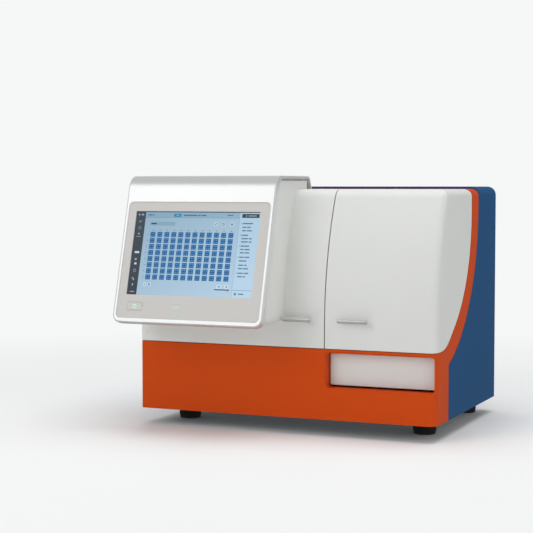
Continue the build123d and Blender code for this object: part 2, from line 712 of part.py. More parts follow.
def touch_glass():
    """Glass over the screen, resting on the panel behind it."""
    start = BEZEL_STEP + BEZEL_THICK - GLASS_THICK
    return on_face(screen_outline(-SEAT), start, GLASS_THICK)


def lcd_panel():
    """Screen module clamped behind the bezel plate."""
    return on_face(screen_outline(LCD_MARGIN), BEZEL_STEP + BEZEL_THICK, LCD_THICK)


def display_board():
    """Circuit board on four spacers, with the push switch behind the button."""
    lcd_back = BEZEL_STEP + BEZEL_THICK + LCD_THICK
    front = lcd_back + BOARD_STANDOFF
    top = SCREEN_BOTTOM + SCREEN_HEIGHT
    bottom = BUTTON_UP - BUTTON_HEIGHT / 2
    centre = (SCREEN_CENTRE_X, (top + bottom) / 2)
    board = on_face(Pos(*centre) * Rectangle(SCREEN_WIDTH, top - bottom), front, BOARD_THICK)
    spread = (SCREEN_WIDTH - 4 * LCD_MARGIN, SCREEN_HEIGHT - 4 * LCD_MARGIN)
    spots = GridLocations(*spread, 2, 2)
    middle = Pos(SCREEN_CENTRE_X, SCREEN_BOTTOM + SCREEN_HEIGHT / 2)
    posts = Sketch() + [middle * spot * Circle(WALL) for spot in spots]
    switch_front = button_rear() + BUTTON_TRAVEL + SEAT
    switch = Pos(BUTTON_X, BUTTON_UP) * Rectangle(BUTTON_STEM, BUTTON_STEM)
    board = board + on_face(posts, lcd_back, BOARD_STANDOFF)
    return board + on_face(switch, switch_front, front - switch_front)


def status_light():
    """Light guide from the board to the face of the bezel plate."""
    rear = BEZEL_STEP + BEZEL_THICK + LCD_THICK + BOARD_STANDOFF
    return on_face(light_outline(0), BEZEL_STEP, rear - BEZEL_STEP)


def button_rear():
    """Depth of the rear of the power button behind the face."""
    return BEZEL_STEP + BEZEL_THICK + SEAT + WALL


def power_button():
    """Button cap with a retaining lip behind the bezel plate."""
    lip_front = BEZEL_STEP + BEZEL_THICK + SEAT
    cap = on_face(button_outline(0), BEZEL_STEP / 2, button_rear() - BEZEL_STEP / 2)
    return cap + on_face(button_outline(GROOVE), lip_front, WALL)


# --- handles and hinges ----------------------------------------------------------
def door_front_depth(z):
    """Depth of a door's outer face at a height."""
    if z <= DOOR_BEND_Z:
        return 0.0
    return DOOR_BOW_R - sqrt(DOOR_BOW_R ** 2 - (z - DOOR_BEND_Z) ** 2)


def bar_handle(centre_x):
    """Rounded bar on two posts that end at the door's face."""
    half = HANDLE_LENGTH / 2
    half_t = HANDLE_THICK / 2
    out = depth(-HANDLE_REACH)
    low = HANDLE_Z - half_t
    bar = block(centre_x - half, centre_x + half, out, out + HANDLE_THICK, low, low + HANDLE_THICK)
    bar = fillet(bar.edges(), HANDLE_ROUND)
    seat = depth(door_front_depth(low))
    for side in (-1, 1):
        x = centre_x + side * (half - HANDLE_POST)
        bar = bar + rod(HANDLE_POST_R, (x, out + half_t, HANDLE_Z), seat - out, "y")
    return bar - handle_backing(centre_x)


def handle_backing(centre_x):
    """Solid that fills the door behind its outer face, to trim the posts."""
    line = door_profile(0, BASE_TOP_Z)
    back = Polyline(line[2] @ 1, (DOOR_REAR, DOOR_TOP_Z), (DOOR_REAR, BASE_TOP_Z), line[0] @ 0)
    section = make_face([*line, back])
    return prism_x(section, centre_x - HANDLE_LENGTH, centre_x + HANDLE_LENGTH)


def hinge_places():
    """X of each hinge: two for the left door, then two for the right door."""
    left = (-SIDE_X + HINGE_INSET, DOOR_SPLIT_X - HINGE_INSET)
    right = (DOOR_SPLIT_X + HINGE_INSET, SIDE_X - HINGE_INSET)
    return left + right


def hinge_leaf(x):
    """Leaf under a door's top with its knuckle round the pin."""
    half = KNUCKLE_LENGTH / 2
    knuckle = rod(KNUCKLE_R, (x - half, HINGE_Y, HINGE_Z), KNUCKLE_LENGTH, "x")
    under = DOOR_TOP_Z - WALL
    low = under - LEAF_THICKNESS
    rear = HINGE_Y - KNUCKLE_R - 2 * SIDE_PLAY
    leaf = block(x - LEAF_WIDTH / 2, x + LEAF_WIDTH / 2, HINGE_Y - LEAF_DEPTH, rear, low, under)
    tongue = block(x - half, x + half, rear - OVERCUT, HINGE_Y, low, under)
    bore = rod(PIN_R + RUN_FIT, (x - half - OVERCUT, HINGE_Y, HINGE_Z), KNUCKLE_LENGTH + 2 * OVERCUT, "x")
    return knuckle + leaf + tongue - bore


def hinge_leaves(places):
    """Both leaves of one door as separate solids."""
    return Compound([hinge_leaf(x) for x in places])


def hinge_ear(x, side):
    """Ear that rises from the beam, clear of the leaf, and holds one end of a pin."""
    inner = x + side * (KNUCKLE_LENGTH / 2 + SIDE_PLAY)
    x0 = min(inner, inner + side * EAR_THICKNESS)
    x1 = x0 + EAR_THICKNESS
    head = rod(KNUCKLE_R, (x0, HINGE_Y, HINGE_Z), EAR_THICKNESS, "x")
    beam_top = BEAM_Z + BEAM_HEIGHT
    foot = block(x0, x1, HINGE_Y - 2 * KNUCKLE_R, HINGE_Y, beam_top, HINGE_Z - KNUCKLE_R)
    neck = block(x0, x1, HINGE_Y - KNUCKLE_R, HINGE_Y, HINGE_Z - KNUCKLE_R, HINGE_Z)
    bore = rod(PIN_R, (x0 - OVERCUT, HINGE_Y, HINGE_Z), EAR_THICKNESS + 2 * OVERCUT, "x")
    return head + foot + neck - bore


def hinge_beam():
    """Channel across the housing under the doors' rear edge, with the hinge ears."""
    x = SIDE_X - WALL - SEAT
    y0 = depth(BEAM_FRONT)
    y1 = depth(BEAM_REAR)
    z1 = BEAM_Z + BEAM_HEIGHT
    beam = block(-x, x, y0, y1, BEAM_Z, z1)
    inner = (y0 + PAN_THICK, y1 - PAN_THICK)
    beam = beam - block(-x - OVERCUT, x + OVERCUT, *inner, BEAM_Z - OVERCUT, z1 - PAN_THICK)
    for place in hinge_places():
        beam = beam + hinge_ear(place, -1) + hinge_ear(place, 1)
    return beam


def hinge_pins():
    """Four pins, each through two ears and a knuckle."""
    reach = KNUCKLE_LENGTH / 2 + SIDE_PLAY + EAR_THICKNESS
    return Compound([rod(PIN_R, (x - reach, HINGE_Y, HINGE_Z), 2 * reach, "x") for x in hinge_places()])


# --- drawer ----------------------------------------------------------------------
def drawer_front():
    """White panel inside the drawer opening."""
    x0 = TUNNEL_X0 + PANEL_SIDE_GAP
    x1 = TUNNEL_X1 - PANEL_SIDE_GAP
    z0 = TUNNEL_Z0 + PANEL_LOWER_GAP
    z1 = TUNNEL_Z1 - PANEL_UPPER_GAP
    panel = block(x0, x1, depth(PANEL_DEPTH), depth(PANEL_DEPTH + PANEL_THICK), z0, z1)
    panel = fillet(panel.edges().filter_by(Axis.Y), PANEL_CORNER)
    return fillet(panel.faces().sort_by(Axis.Y)[0].edges(), GROOVE)


def nest_centre():
    """Depth of the centre of the microplate in the closed drawer."""
    return NEST_FRONT + NEST_RIM + (PLATE_WIDTH + PLATE_PLAY) / 2


def carriage():
    """Tray with a rimmed nest for the microplate and finger cut-outs."""
    front = PANEL_DEPTH + PANEL_THICK
    top = CARRIAGE_Z + CARRIAGE_THICK
    half = CARRIAGE_WIDTH / 2
    tray = block(DRAWER_X - half, DRAWER_X + half, depth(front), depth(CARRIAGE_REAR), CARRIAGE_Z, top)
    tray = fillet(tray.edges().filter_by(Axis.Z).group_by(Axis.Y)[-1], PANEL_CORNER * 2)
    pocket_x = (PLATE_LENGTH + PLATE_PLAY) / 2
    pocket_y = (PLATE_WIDTH + PLATE_PLAY) / 2
    over = 2 * NEST_RISE
    place = Pos(DRAWER_X, depth(nest_centre()), top)
    rim = extrude(RectangleRounded(2 * (pocket_x + NEST_RIM), 2 * (pocket_y + NEST_RIM), NEST_RIM), NEST_RISE)
    pocket = extrude(Rectangle(2 * pocket_x, 2 * pocket_y), over)
    notch = extrude(Rectangle(2 * (pocket_x + NEST_RIM + OVERCUT), 4 * NEST_RIM), over)
    return tray + place * (rim - pocket - notch)


def rail_places():
    """X of the two guide rails."""
    return (DRAWER_X - RAIL_SPACING / 2, DRAWER_X + RAIL_SPACING / 2)


def slide_blocks():
    """Four bearing blocks under the carriage, two on each rail."""
    half = BLOCK_WIDTH / 2
    solids = []
    for x in rail_places():
        for step in range(2):
            y0 = BLOCK_FIRST + step * BLOCK_PITCH
            y1 = y0 + BLOCK_LENGTH
            body = block(x - half, x + half, depth(y0), depth(y1), BLOCK_BOTTOM, CARRIAGE_Z)
            start = (x, depth(y0 - OVERCUT), RAIL_Z)
            bore = rod(RAIL_R + RUN_FIT, start, BLOCK_LENGTH + 2 * OVERCUT, "y")
            solids.append(body - bore)
    return Compound(solids)


def belt_clamp():
    """Clamp under the carriage that grips the right-hand run of the belt."""
    run = DRAWER_X + PULLEY_R
    x0 = run + BELT_THICK / 2 - CLAMP_WIDTH / 2
    low = PULLEY_Z0 + (PULLEY_HEIGHT - BELT_HEIGHT) / 2
    y0 = depth(CLAMP_DEPTH)
    y1 = y0 + CLAMP_LENGTH
    body = block(x0, x0 + CLAMP_WIDTH, y0, y1, low, CARRIAGE_Z)
    sides = (run - CLAMP_PLAY, run + BELT_THICK + CLAMP_PLAY)
    slot = block(*sides, y0 - OVERCUT, y1 + OVERCUT, low - OVERCUT, low + BELT_HEIGHT + CLAMP_PLAY)
    return body - slot


def guide_rails():
    """Two polished rails."""
    length = RAIL_REAR - RAIL_FRONT
    return Compound([rod(RAIL_R, (x, depth(RAIL_FRONT), RAIL_Z), length, "y") for x in rail_places()])


def rail_brackets():
    """Four upright blocks on the chassis pan that hold the rails' ends."""
    pan_top = FOOT_HEIGHT + PAN_THICK
    half = BLOCK_WIDTH / 2
    solids = []
    for x in rail_places():
        for y0 in (RAIL_FRONT, RAIL_REAR - RAIL_BRACKET):
            y1 = y0 + RAIL_BRACKET
            plate = block(x - half, x + half, depth(y0), depth(y1), pan_top, RAIL_Z + 2 * RAIL_R)
            bore = rod(RAIL_R, (x, depth(y0 - OVERCUT), RAIL_Z), RAIL_BRACKET + 2 * OVERCUT, "y")
            solids.append(plate - bore)
    return Compound(solids)


def pulley(at_depth):
    """Flanged belt pulley on an upright shaft."""
    place = (DRAWER_X, depth(at_depth), PULLEY_Z0)
    solid = rod(PULLEY_R - RUN_FIT, place, PULLEY_HEIGHT, "z")
    solid = solid + rod(PULLEY_FLANGE_R, place, PULLEY_FLANGE, "z")
    upper = (place[0], place[1], PULLEY_Z0 + PULLEY_HEIGHT - PULLEY_FLANGE)
    solid = solid + rod(PULLEY_FLANGE_R, upper, PULLEY_FLANGE, "z")
    below = (place[0], place[1], PULLEY_Z0 - OVERCUT)
    return solid - rod(PULLEY_BORE_R, below, PULLEY_HEIGHT + 2 * OVERCUT, "z")


def drive_belt():
    """Belt round both pulleys."""
    length = MOTOR_DEPTH - IDLER_DEPTH
    low = PULLEY_Z0 + (PULLEY_HEIGHT - BELT_HEIGHT) / 2
    middle = Pos(DRAWER_X, depth((MOTOR_DEPTH + IDLER_DEPTH) / 2), low)
    outer = SlotCenterToCenter(length, 2 * (PULLEY_R + BELT_THICK), rotation=90)
    inner = SlotCenterToCenter(length, 2 * PULLEY_R, rotation=90)
    return middle * extrude(outer - inner, amount=BELT_HEIGHT)


def drive_motor():
    """Stepping motor that stands on the pan, with its shaft through the pulley."""
    pan_top = FOOT_HEIGHT + PAN_THICK
    half = MOTOR_SIDE / 2
    y = depth(MOTOR_DEPTH)
    body = block(DRAWER_X - half, DRAWER_X + half, y - half, y + half, pan_top, PULLEY_Z0 - PULLEY_FLANGE)
    body = chamfer(body.edges().filter_by(Axis.Z), PANEL_CORNER)
    shaft = rod(PULLEY_BORE_R - RUN_FIT, (DRAWER_X, y, pan_top), PULLEY_Z0 + PULLEY_HEIGHT - pan_top, "z")
    return body + shaft


def idler_post():
    """Post on the pan with the idler's axle."""
    pan_top = FOOT_HEIGHT + PAN_THICK
    y = depth(IDLER_DEPTH)
    post = rod(PULLEY_R, (DRAWER_X, y, pan_top), PULLEY_Z0 - PULLEY_FLANGE - pan_top, "z")
    axle = rod(PULLEY_BORE_R - RUN_FIT, (DRAWER_X, y, pan_top), PULLEY_Z0 + PULLEY_HEIGHT - pan_top, "z")
    return post + axle


# --- chassis ---------------------------------------------------------------------
def foot_places():
    """Centres of the four feet."""
    return [(x, depth(y)) for x in (-FOOT_X, FOOT_X) for y in (FOOT_FRONT, FOOT_REAR)]


def chassis_pan():
    """Folded tray that closes the housing from below, with screw bosses for the feet."""
    inset = WALL + SEAT
    plan = (-SIDE_X, SIDE_X, FRONT_Y, REAR_Y)
    outer = housing_block(inset) & block(*plan, FOOT_HEIGHT, FOOT_HEIGHT + PAN_FLANGE)
    inner = housing_block(inset + PAN_THICK) & block(*plan, FOOT_HEIGHT + PAN_THICK, TOP_Z)
    pan = outer - inner
    for x, y in foot_places():
        pan = pan + rod(3 * FOOT_SCREW_R, (x, y, FOOT_HEIGHT), 2 * PAN_THICK + WALL, "z")
    for x, y in foot_places():
        start = (x, y, FOOT_HEIGHT - OVERCUT)
        pan = pan - rod(FOOT_SCREW_R + RUN_FIT, start, 3 * PAN_THICK + WALL + OVERCUT, "z")
    return pan


def rubber_feet():
    """Four tapered feet with a counterbore for the screw."""
    hole = FOOT_SCREW_R + RUN_FIT
    well = 2 * FOOT_SCREW_R + FOOT_TAPER
    profile = Polyline(
        (hole, FOOT_HEIGHT), (FOOT_R, FOOT_HEIGHT), (FOOT_R, FOOT_HEIGHT / 4), (FOOT_R - FOOT_TAPER, 0),
        (well, 0), (well, FOOT_HEIGHT / 2), (hole, FOOT_HEIGHT / 2), (hole, FOOT_HEIGHT),
    )
    foot = revolve(Plane.XZ * make_face(profile), Axis.Z)
    return Compound([Pos(x, y, 0) * foot for x, y in foot_places()])


def foot_screws():
    """Four screws up through the feet into the pan's bosses."""
    solids = []
    for x, y in foot_places():
        head = rod(2 * FOOT_SCREW_R, (x, y, FOOT_HEIGHT / 2 - WALL), WALL, "z")
        shank = rod(FOOT_SCREW_R, (x, y, FOOT_HEIGHT / 2), FOOT_HEIGHT / 2 + 2 * PAN_THICK + WALL, "z")
        solids.append(head + shank)
    return Compound(solids)


def optics_deck():
    """Plate on four posts that carries the optics above the drawer."""
    x = SIDE_X - WALL - PAN_THICK - SEAT
    y0 = depth(FASCIA_DEPTH + FASCIA_THICK)
    y1 = depth(DECK_REAR)
    plate = block(-x, x, y0, y1, DECK_Z, DECK_Z + DECK_THICK)
    pan_top = FOOT_HEIGHT + PAN_THICK
    for px in (POST_R + SEAT - x, x - POST_R - SEAT):
        for py in (y0 + POST_INSET, y1 - POST_INSET):
            plate = plate + rod(POST_R, (px, py, pan_top), DECK_Z - pan_top, "z")
    return plate


def inner_fascia():
    """Bent sheet behind the doors, with two ports for the filter slides."""
    x = SIDE_X - WALL - PAN_THICK - SEAT
    y0 = depth(FASCIA_DEPTH)
    low = BASE_TOP_Z - GROOVE
    front = block(-x, x, y0, y0 + FASCIA_THICK, low, FASCIA_TOP_Z)
    top = block(-x, x, y0, depth(BEAM_REAR), FASCIA_TOP_Z, BEAM_Z)
    sheet = front + top
    for step in range(2):
        z = PORT_Z + step * PORT_PITCH
        half_w = PORT_WIDTH / 2 + PORT_PLAY
        half_h = PORT_HEIGHT / 2 + PORT_PLAY
        through = (y0 - OVERCUT, y0 + FASCIA_THICK + OVERCUT)
        sheet = sheet - block(PORT_X - half_w, PORT_X + half_w, *through, z - half_h, z + half_h)
    return sheet


def filter_slides():
    """Excitation and emission filter slides standing in their ports."""
    solids = []
    half = PORT_WIDTH / 2
    y0 = depth(FASCIA_DEPTH - SLIDE_PROUD)
    for step in range(2):
        low = PORT_Z + step * PORT_PITCH - PORT_HEIGHT / 2
        bar = block(PORT_X - half, PORT_X + half, y0, depth(FASCIA_DEPTH + SLIDE_REACH), low, low + PORT_HEIGHT)
        solids.append(fillet(bar.faces().sort_by(Axis.Y)[0].edges(), GROOVE))
    return Compound(solids)


def chamber_top():
    """Height of the top of the optics housing."""
    return PORT_Z + PORT_PITCH + 2 * PORT_HEIGHT


def read_chamber():
    """Cast optics housing on the deck, with guides for the two filter slides."""
    y0 = depth(FASCIA_DEPTH + CHAMBER_FRONT)
    y1 = depth(FASCIA_DEPTH + CHAMBER_REAR)
    sides = (PORT_X - PORT_WIDTH, PORT_X + PORT_WIDTH)
    body = block(*sides, y0, y1, DECK_Z + DECK_THICK, chamber_top())
    body = fillet(body.edges().filter_by(Axis.Z), CORNER_LEFT)
    half = PORT_WIDTH / 2 + PORT_PLAY
    far = depth(FASCIA_DEPTH + SLIDE_REACH) + OVERCUT
    for step in range(2):
        low = PORT_Z + step * PORT_PITCH - PORT_HEIGHT / 2
        guide = block(PORT_X - half, PORT_X + half, y0 - OVERCUT, far, low, low + PORT_HEIGHT + PORT_PLAY)
        body = body - guide
    return body


def optics_places():
    """X of the centres of the two optics boxes."""
    return (OPTICS_X0 + OPTICS_WIDTH / 2, OPTICS_X1 - OPTICS_WIDTH / 2)


def monochromators():
    """Two lidded optics boxes on the deck, for excitation and emission."""
    z0 = DECK_Z + DECK_THICK
    z1 = z0 + OPTICS_HEIGHT
    y0 = depth(OPTICS_FRONT)
    y1 = depth(OPTICS_REAR)
    solids = []
    for centre_x in optics_places():
        x0 = centre_x - OPTICS_WIDTH / 2
        x1 = centre_x + OPTICS_WIDTH / 2
        body = block(x0, x1, y0, y1, z0, z1)
        body = fillet(body.edges().filter_by(Axis.Z), CORNER_LEFT)
        inside = (x0 + OPTICS_WALL, x1 - OPTICS_WALL, y0 + OPTICS_WALL, y1 - OPTICS_WALL)
        body = body - block(*inside, z0 + OPTICS_WALL, z1 + WALL)
        lid = block(x0 - WALL, x1 + WALL, y0 - WALL, y1 + WALL, z1, z1 + WALL)
        lid = fillet(lid.edges().filter_by(Axis.Z), CORNER_LEFT + WALL)
        solids += [body, lid]
    return Compound(solids)


def flash_lamp():
    """Xenon flash module: driver box with a finned lamp housing on top."""
    z0 = DECK_Z + DECK_THICK
    x0 = optics_places()[0] - LAMP_SIZE / 2
    y0 = depth(OPTICS_REAR) + 2 * WALL
    solid = block(x0, x0 + LAMP_SIZE, y0, y0 + LAMP_SIZE, z0, z0 + LAMP_SIZE)
    core_z = z0 + LAMP_SIZE
    centre = (x0 + LAMP_SIZE / 2, y0 + LAMP_SIZE / 2)
    solid = solid + rod(LAMP_SIZE / 4, (*centre, core_z), LAMP_FINS * 2 * WALL, "z")
    for step in range(LAMP_FINS):
        solid = solid + rod(LAMP_SIZE / 2 - 2 * WALL, (*centre, core_z + (2 * step + 1) * WALL), WALL, "z")
    return solid


def photomultiplier():
    """Detector tube that stands on the optics housing."""
    place = (PORT_X, depth(FASCIA_DEPTH + TUBE_BEHIND), chamber_top())
    flange = rod(TUBE_R + WALL, place, WALL, "z")
    tube = rod(TUBE_R, place, TUBE_LENGTH, "z")
    return flange + tube


def mainboard():
    """Controller board on four spacers above the pan."""
    pan_top = FOOT_HEIGHT + PAN_THICK
    top = pan_top + MAIN_STANDOFF
    centre = ((MAIN_X0 + MAIN_X1) / 2, depth((MAIN_FRONT + MAIN_REAR) / 2))
    width = MAIN_X1 - MAIN_X0
    length = MAIN_REAR - MAIN_FRONT
    board = Pos(*centre, top + BOARD_THICK / 2) * Box(width, length, BOARD_THICK)
    for spot in GridLocations(width - 4 * WALL, length - 4 * WALL, 2, 2):
        spacer = extrude(Circle(WALL), amount=MAIN_STANDOFF)
        board = board + Pos(*centre, pan_top) * spot * spacer
    for spot in GridLocations(width / 3, length / 4, 2, 3):
        chip = extrude(Rectangle(CHIP_SIDE, CHIP_SIDE), amount=WALL)
        board = board + Pos(*centre, top + BOARD_THICK) * spot * chip
    return board


def power_supply():
    """Metal-cased supply on the pan, with its slotted lid."""
    z0 = FOOT_HEIGHT + PAN_THICK
    x1 = SUPPLY_X0 + SUPPLY_WIDTH
    y0 = depth(SUPPLY_FRONT)
    y1 = y0 + SUPPLY_LENGTH
    case = block(SUPPLY_X0, x1, y0, y1, z0, z0 + SUPPLY_HEIGHT)
    inside = (SUPPLY_X0 + PAN_THICK, x1 - PAN_THICK, y0 + PAN_THICK, y1 - PAN_THICK)
    case = case - block(*inside, z0 + PAN_THICK, z0 + SUPPLY_HEIGHT - PAN_THICK)
    slot_x = SUPPLY_WIDTH / 2 - 4 * WALL
    centre = (SUPPLY_X0 + SUPPLY_WIDTH / 2, (y0 + y1) / 2)
    for spot in GridLocations(0, 4 * WALL, 1, SUPPLY_SLOTS):
        slot = Box(2 * slot_x, WALL, 2 * WALL)
        case = case - Pos(*centre, z0 + SUPPLY_HEIGHT) * spot * slot
    return case


def magnet_places():
    """X of the two door magnets."""
    return (-SIDE_X / 2, DRAWER_X)


def door_magnets():
    """Magnet catches on the base's deck, one for each door."""
    z0 = BASE_TOP_Z - GROOVE
    solids = []
    for x in magnet_places():
        y0 = depth(WALL + STRIKE_THICK + CLAMP_PLAY)
        body = block(x - CORNER_RIGHT, x + CORNER_RIGHT, y0, y0 + CORNER_REAR, z0, z0 + MAGNET_HEIGHT)
        solids.append(fillet(body.edges().filter_by(Axis.Z), PANEL_CORNER))
    return Compound(solids)


def strike_plate(x):
    """Steel plate behind a door's lower edge, opposite its magnet."""
    z0 = BASE_TOP_Z + WALL
    y0 = depth(WALL)
    half = CORNER_RIGHT - WALL
    return block(x - half, x + half, y0, y0 + STRIKE_THICK, z0, z0 + MAGNET_HEIGHT - 2 * WALL)


# --- rear panel and what it carries ------------------------------------------------
def panel_face():
    """Y of the outer face of the rear panel, inside the rear wall."""
    return REAR_Y - WALL


def fan_grille():
    """Ring slots in front of the fan, crossed by spokes, as one cutter."""
    pitch = FAN_SIZE / 2 / (GRILLE_RINGS + 1)
    rings = Sketch()
    for step in range(GRILLE_RINGS):
        outer = (step + 2) * pitch - GRILLE_BAR
        rings = rings + (Circle(outer) - Circle((step + 1) * pitch))
    spokes = Rectangle(FAN_SIZE, GRILLE_BAR) + Rectangle(GRILLE_BAR, FAN_SIZE)
    rings = rings - Rot(Z=45) * spokes
    plane = Plane(origin=(FAN_X, panel_face() + OVERCUT, REAR_PANEL_Z), z_dir=(0, -1, 0), x_dir=(1, 0, 0))
    return extrude(plane * rings, amount=PAN_THICK + 2 * OVERCUT)


def sockets():
    """Centre X, width and height of each socket in the connector row."""
    first = SOCKETS_X - 3 * SOCKET_STEP / 2 - NET_SOCKET_ROOM
    last = first + 3 * SOCKET_STEP + 2 * NET_SOCKET_ROOM
    return [
        (first, FLAT_SOCKET_WIDTH, FLAT_SOCKET_HEIGHT),
        (first + SOCKET_STEP, FLAT_SOCKET_WIDTH, FLAT_SOCKET_HEIGHT),
        (first + 2 * SOCKET_STEP, SQUARE_SOCKET_WIDTH, SQUARE_SOCKET_HEIGHT),
        (last, NET_SOCKET_WIDTH, NET_SOCKET_HEIGHT),
    ]


def panel_cut(x, width, height, inset, y0, y1):
    """Upright block for a cut-out or body on the panel's middle line, inset on all four sides."""
    half_w = width / 2 - inset
    half_h = height / 2 - inset
    return block(x - half_w, x + half_w, y0, y1, REAR_PANEL_Z - half_h, REAR_PANEL_Z + half_h)


def rear_panel():
    """Steel panel behind the window, with fan grille and cut-outs."""
    face = panel_face()
    back = face - PAN_THICK
    panel = panel_cut(0, REAR_PANEL_WIDTH, REAR_PANEL_HEIGHT, 0, back, face)
    panel = panel - fan_grille()
    cuts = [(INLET_X, INLET_WIDTH, INLET_HEIGHT), (SWITCH_X, SWITCH_WIDTH, SWITCH_HEIGHT), *sockets()]
    for cut in cuts:
        panel = panel - panel_cut(*cut, 0, back - OVERCUT, face + OVERCUT)
    return panel


def rear_screws():
    """Button-head screws that fix the rear panel through the rear wall."""
    solids = []
    half_w = REAR_PANEL_WIDTH / 2 - REAR_LAP / 2
    half_h = REAR_PANEL_HEIGHT / 2 - REAR_LAP / 2
    for x in (-half_w, 0, half_w):
        for z in (REAR_PANEL_Z - half_h, REAR_PANEL_Z + half_h):
            solids.append(rod(WALL, (x, REAR_Y, z), SCREW_HEAD, "y"))
    return Compound(solids)


def fan_frame():
    """Square fan frame against the panel, with struts, hub seat and axle."""
    y1 = panel_face() - PAN_THICK
    y0 = y1 - FAN_THICK
    half = FAN_SIZE / 2
    place = (FAN_X, y0, REAR_PANEL_Z)
    frame = panel_cut(FAN_X, FAN_SIZE, FAN_SIZE, 0, y0, y1)
    frame = fillet(frame.edges().filter_by(Axis.Y), PANEL_CORNER)
    start = (FAN_X, y0 - OVERCUT, REAR_PANEL_Z)
    frame = frame - rod(half - FAN_TIP_GAP, start, FAN_THICK + 2 * OVERCUT, "y")
    struts = panel_cut(FAN_X, FAN_SIZE, WALL, 0, y0, y0 + WALL)
    struts = struts + panel_cut(FAN_X, WALL, FAN_SIZE, 0, y0, y0 + WALL)
    struts = struts & rod(half - FAN_TIP_GAP / 2, place, FAN_THICK, "y")
    axle = rod(FAN_AXLE_R, place, FAN_THICK - 2 * WALL, "y")
    return frame + struts + rod(FAN_HUB_R, place, WALL, "y") + axle


def fan_rotor():
    """Hub with pitched blades that turns on the frame's axle."""
    y1 = panel_face() - PAN_THICK
    start = y1 - FAN_THICK + WALL + FAN_TIP_GAP
    length = FAN_THICK - 2 * WALL - FAN_TIP_GAP
    tip = FAN_SIZE / 2 - 2 * FAN_TIP_GAP
    hub = rod(FAN_HUB_R, (0, 0, 0), length, "z")
    span = tip - FAN_HUB_R + 2 * FAN_TIP_GAP
    blade = Pos(tip - span / 2, 0, length / 2) * Rot(X=BLADE_PITCH) * Box(span, BLADE_CHORD, BLADE_THICK)
    for step in range(FAN_BLADES):
        hub = hub + Rot(Z=360 / FAN_BLADES * step) * blade
    hub = hub & rod(tip, (0, 0, 0), length, "z")
    hub = hub - rod(FAN_AXLE_R + RUN_FIT, (0, 0, -OVERCUT), length + 2 * OVERCUT, "z")
    return Pos(FAN_X, start, REAR_PANEL_Z) * Rot(X=-90) * hub


def power_inlet():
    """Three-pin appliance inlet with a flange on the panel."""
    face = panel_face()
    rear = face - INLET_DEPTH
    size = (INLET_X, INLET_WIDTH, INLET_HEIGHT)
    flange = panel_cut(*size, -INLET_RIM, face, face + PAN_THICK)
    flange = fillet(flange.edges().filter_by(Axis.Y), PANEL_CORNER)
    solid = panel_cut(*size, 0, rear, face) + flange
    solid = solid - panel_cut(*size, INLET_RIM, rear + WALL, face + WALL)
    for x, z in ((-CONTACT_SIDE, -CONTACT_LOW), (0, CONTACT_HIGH), (CONTACT_SIDE, -CONTACT_LOW)):
        contact = panel_cut(INLET_X + x, 2 * CONTACT_HALF, 4 * CONTACT_HALF, 0, rear, face - INLET_DEPTH / 2)
        solid = solid + Pos(0, 0, z) * contact
    return solid


def switch_frame():
    """Frame of the mains switch with bearings for the rocker."""
    face = panel_face()
    rear = face - INLET_DEPTH
    size = (SWITCH_X, SWITCH_WIDTH, SWITCH_HEIGHT)
    body = panel_cut(*size, 0, rear, face + PAN_THICK)
    flange = panel_cut(*size, -SWITCH_LIP, face, face + PAN_THICK)
    well = panel_cut(*size, SWITCH_WALL, rear + WALL, face + WALL)
    reach = SWITCH_WIDTH / 2 - SWITCH_LIP
    bearing = rod(SWITCH_PIVOT_R, (SWITCH_X - reach, face - PAN_THICK, REAR_PANEL_Z), 2 * reach, "x")
    return body + flange - well - bearing


def switch_rocker():
    """Rocker with a dished face and pivot stubs, tilted to one side."""
    radius = SWITCH_HEIGHT / 2 - SWITCH_WALL - SEAT
    width = SWITCH_WIDTH - 2 * SWITCH_WALL - 2 * SEAT
    slope = tan(radians(SWITCH_ANGLE))
    crest = PAN_THICK + WALL
    far = 2 * radius
    edge = crest + slope * far
    face = make_face(Polyline((-far, -far), (edge, -far), (crest, 0), (edge, far), (-far, far), (-far, -far)))
    section = Circle(radius) & face
    body = extrude(Plane.YZ.offset(-width / 2) * section, amount=width)
    stub = SWITCH_WIDTH - 2 * SWITCH_LIP - 2 * SEAT
    body = body + rod(SWITCH_PIVOT_R - RUN_FIT, (-stub / 2, 0, 0), stub, "x")
    return Pos(SWITCH_X, panel_face() - PAN_THICK, REAR_PANEL_Z) * Rot(X=SWITCH_ANGLE) * body


def io_ports():
    """Row of data sockets that stand through the panel."""
    face = panel_face()
    rear = face - SOCKET_REACH
    solids = []
    for size in sockets():
        shell = panel_cut(*size, 0, rear, face + PAN_THICK / 2)
        solids.append(shell - panel_cut(*size, SOCKET_WALL, rear + WALL, face + PAN_THICK))
    return Compound(solids)


def io_board():
    """Upright board that carries the data sockets, on two posts from the panel."""
    y1 = panel_face() - SOCKET_REACH
    board = panel_cut(SOCKETS_X, IO_BOARD_WIDTH, IO_BOARD_HEIGHT, 0, y1 - BOARD_THICK, y1)
    for side in (-1, 1):
        x = SOCKETS_X + side * (IO_BOARD_WIDTH / 2 - 2 * WALL)
        z = REAR_PANEL_Z + IO_BOARD_HEIGHT / 2 - 2 * WALL
        board = board + rod(WALL, (x, y1, z), SOCKET_REACH - PAN_THICK, "y")
    return board


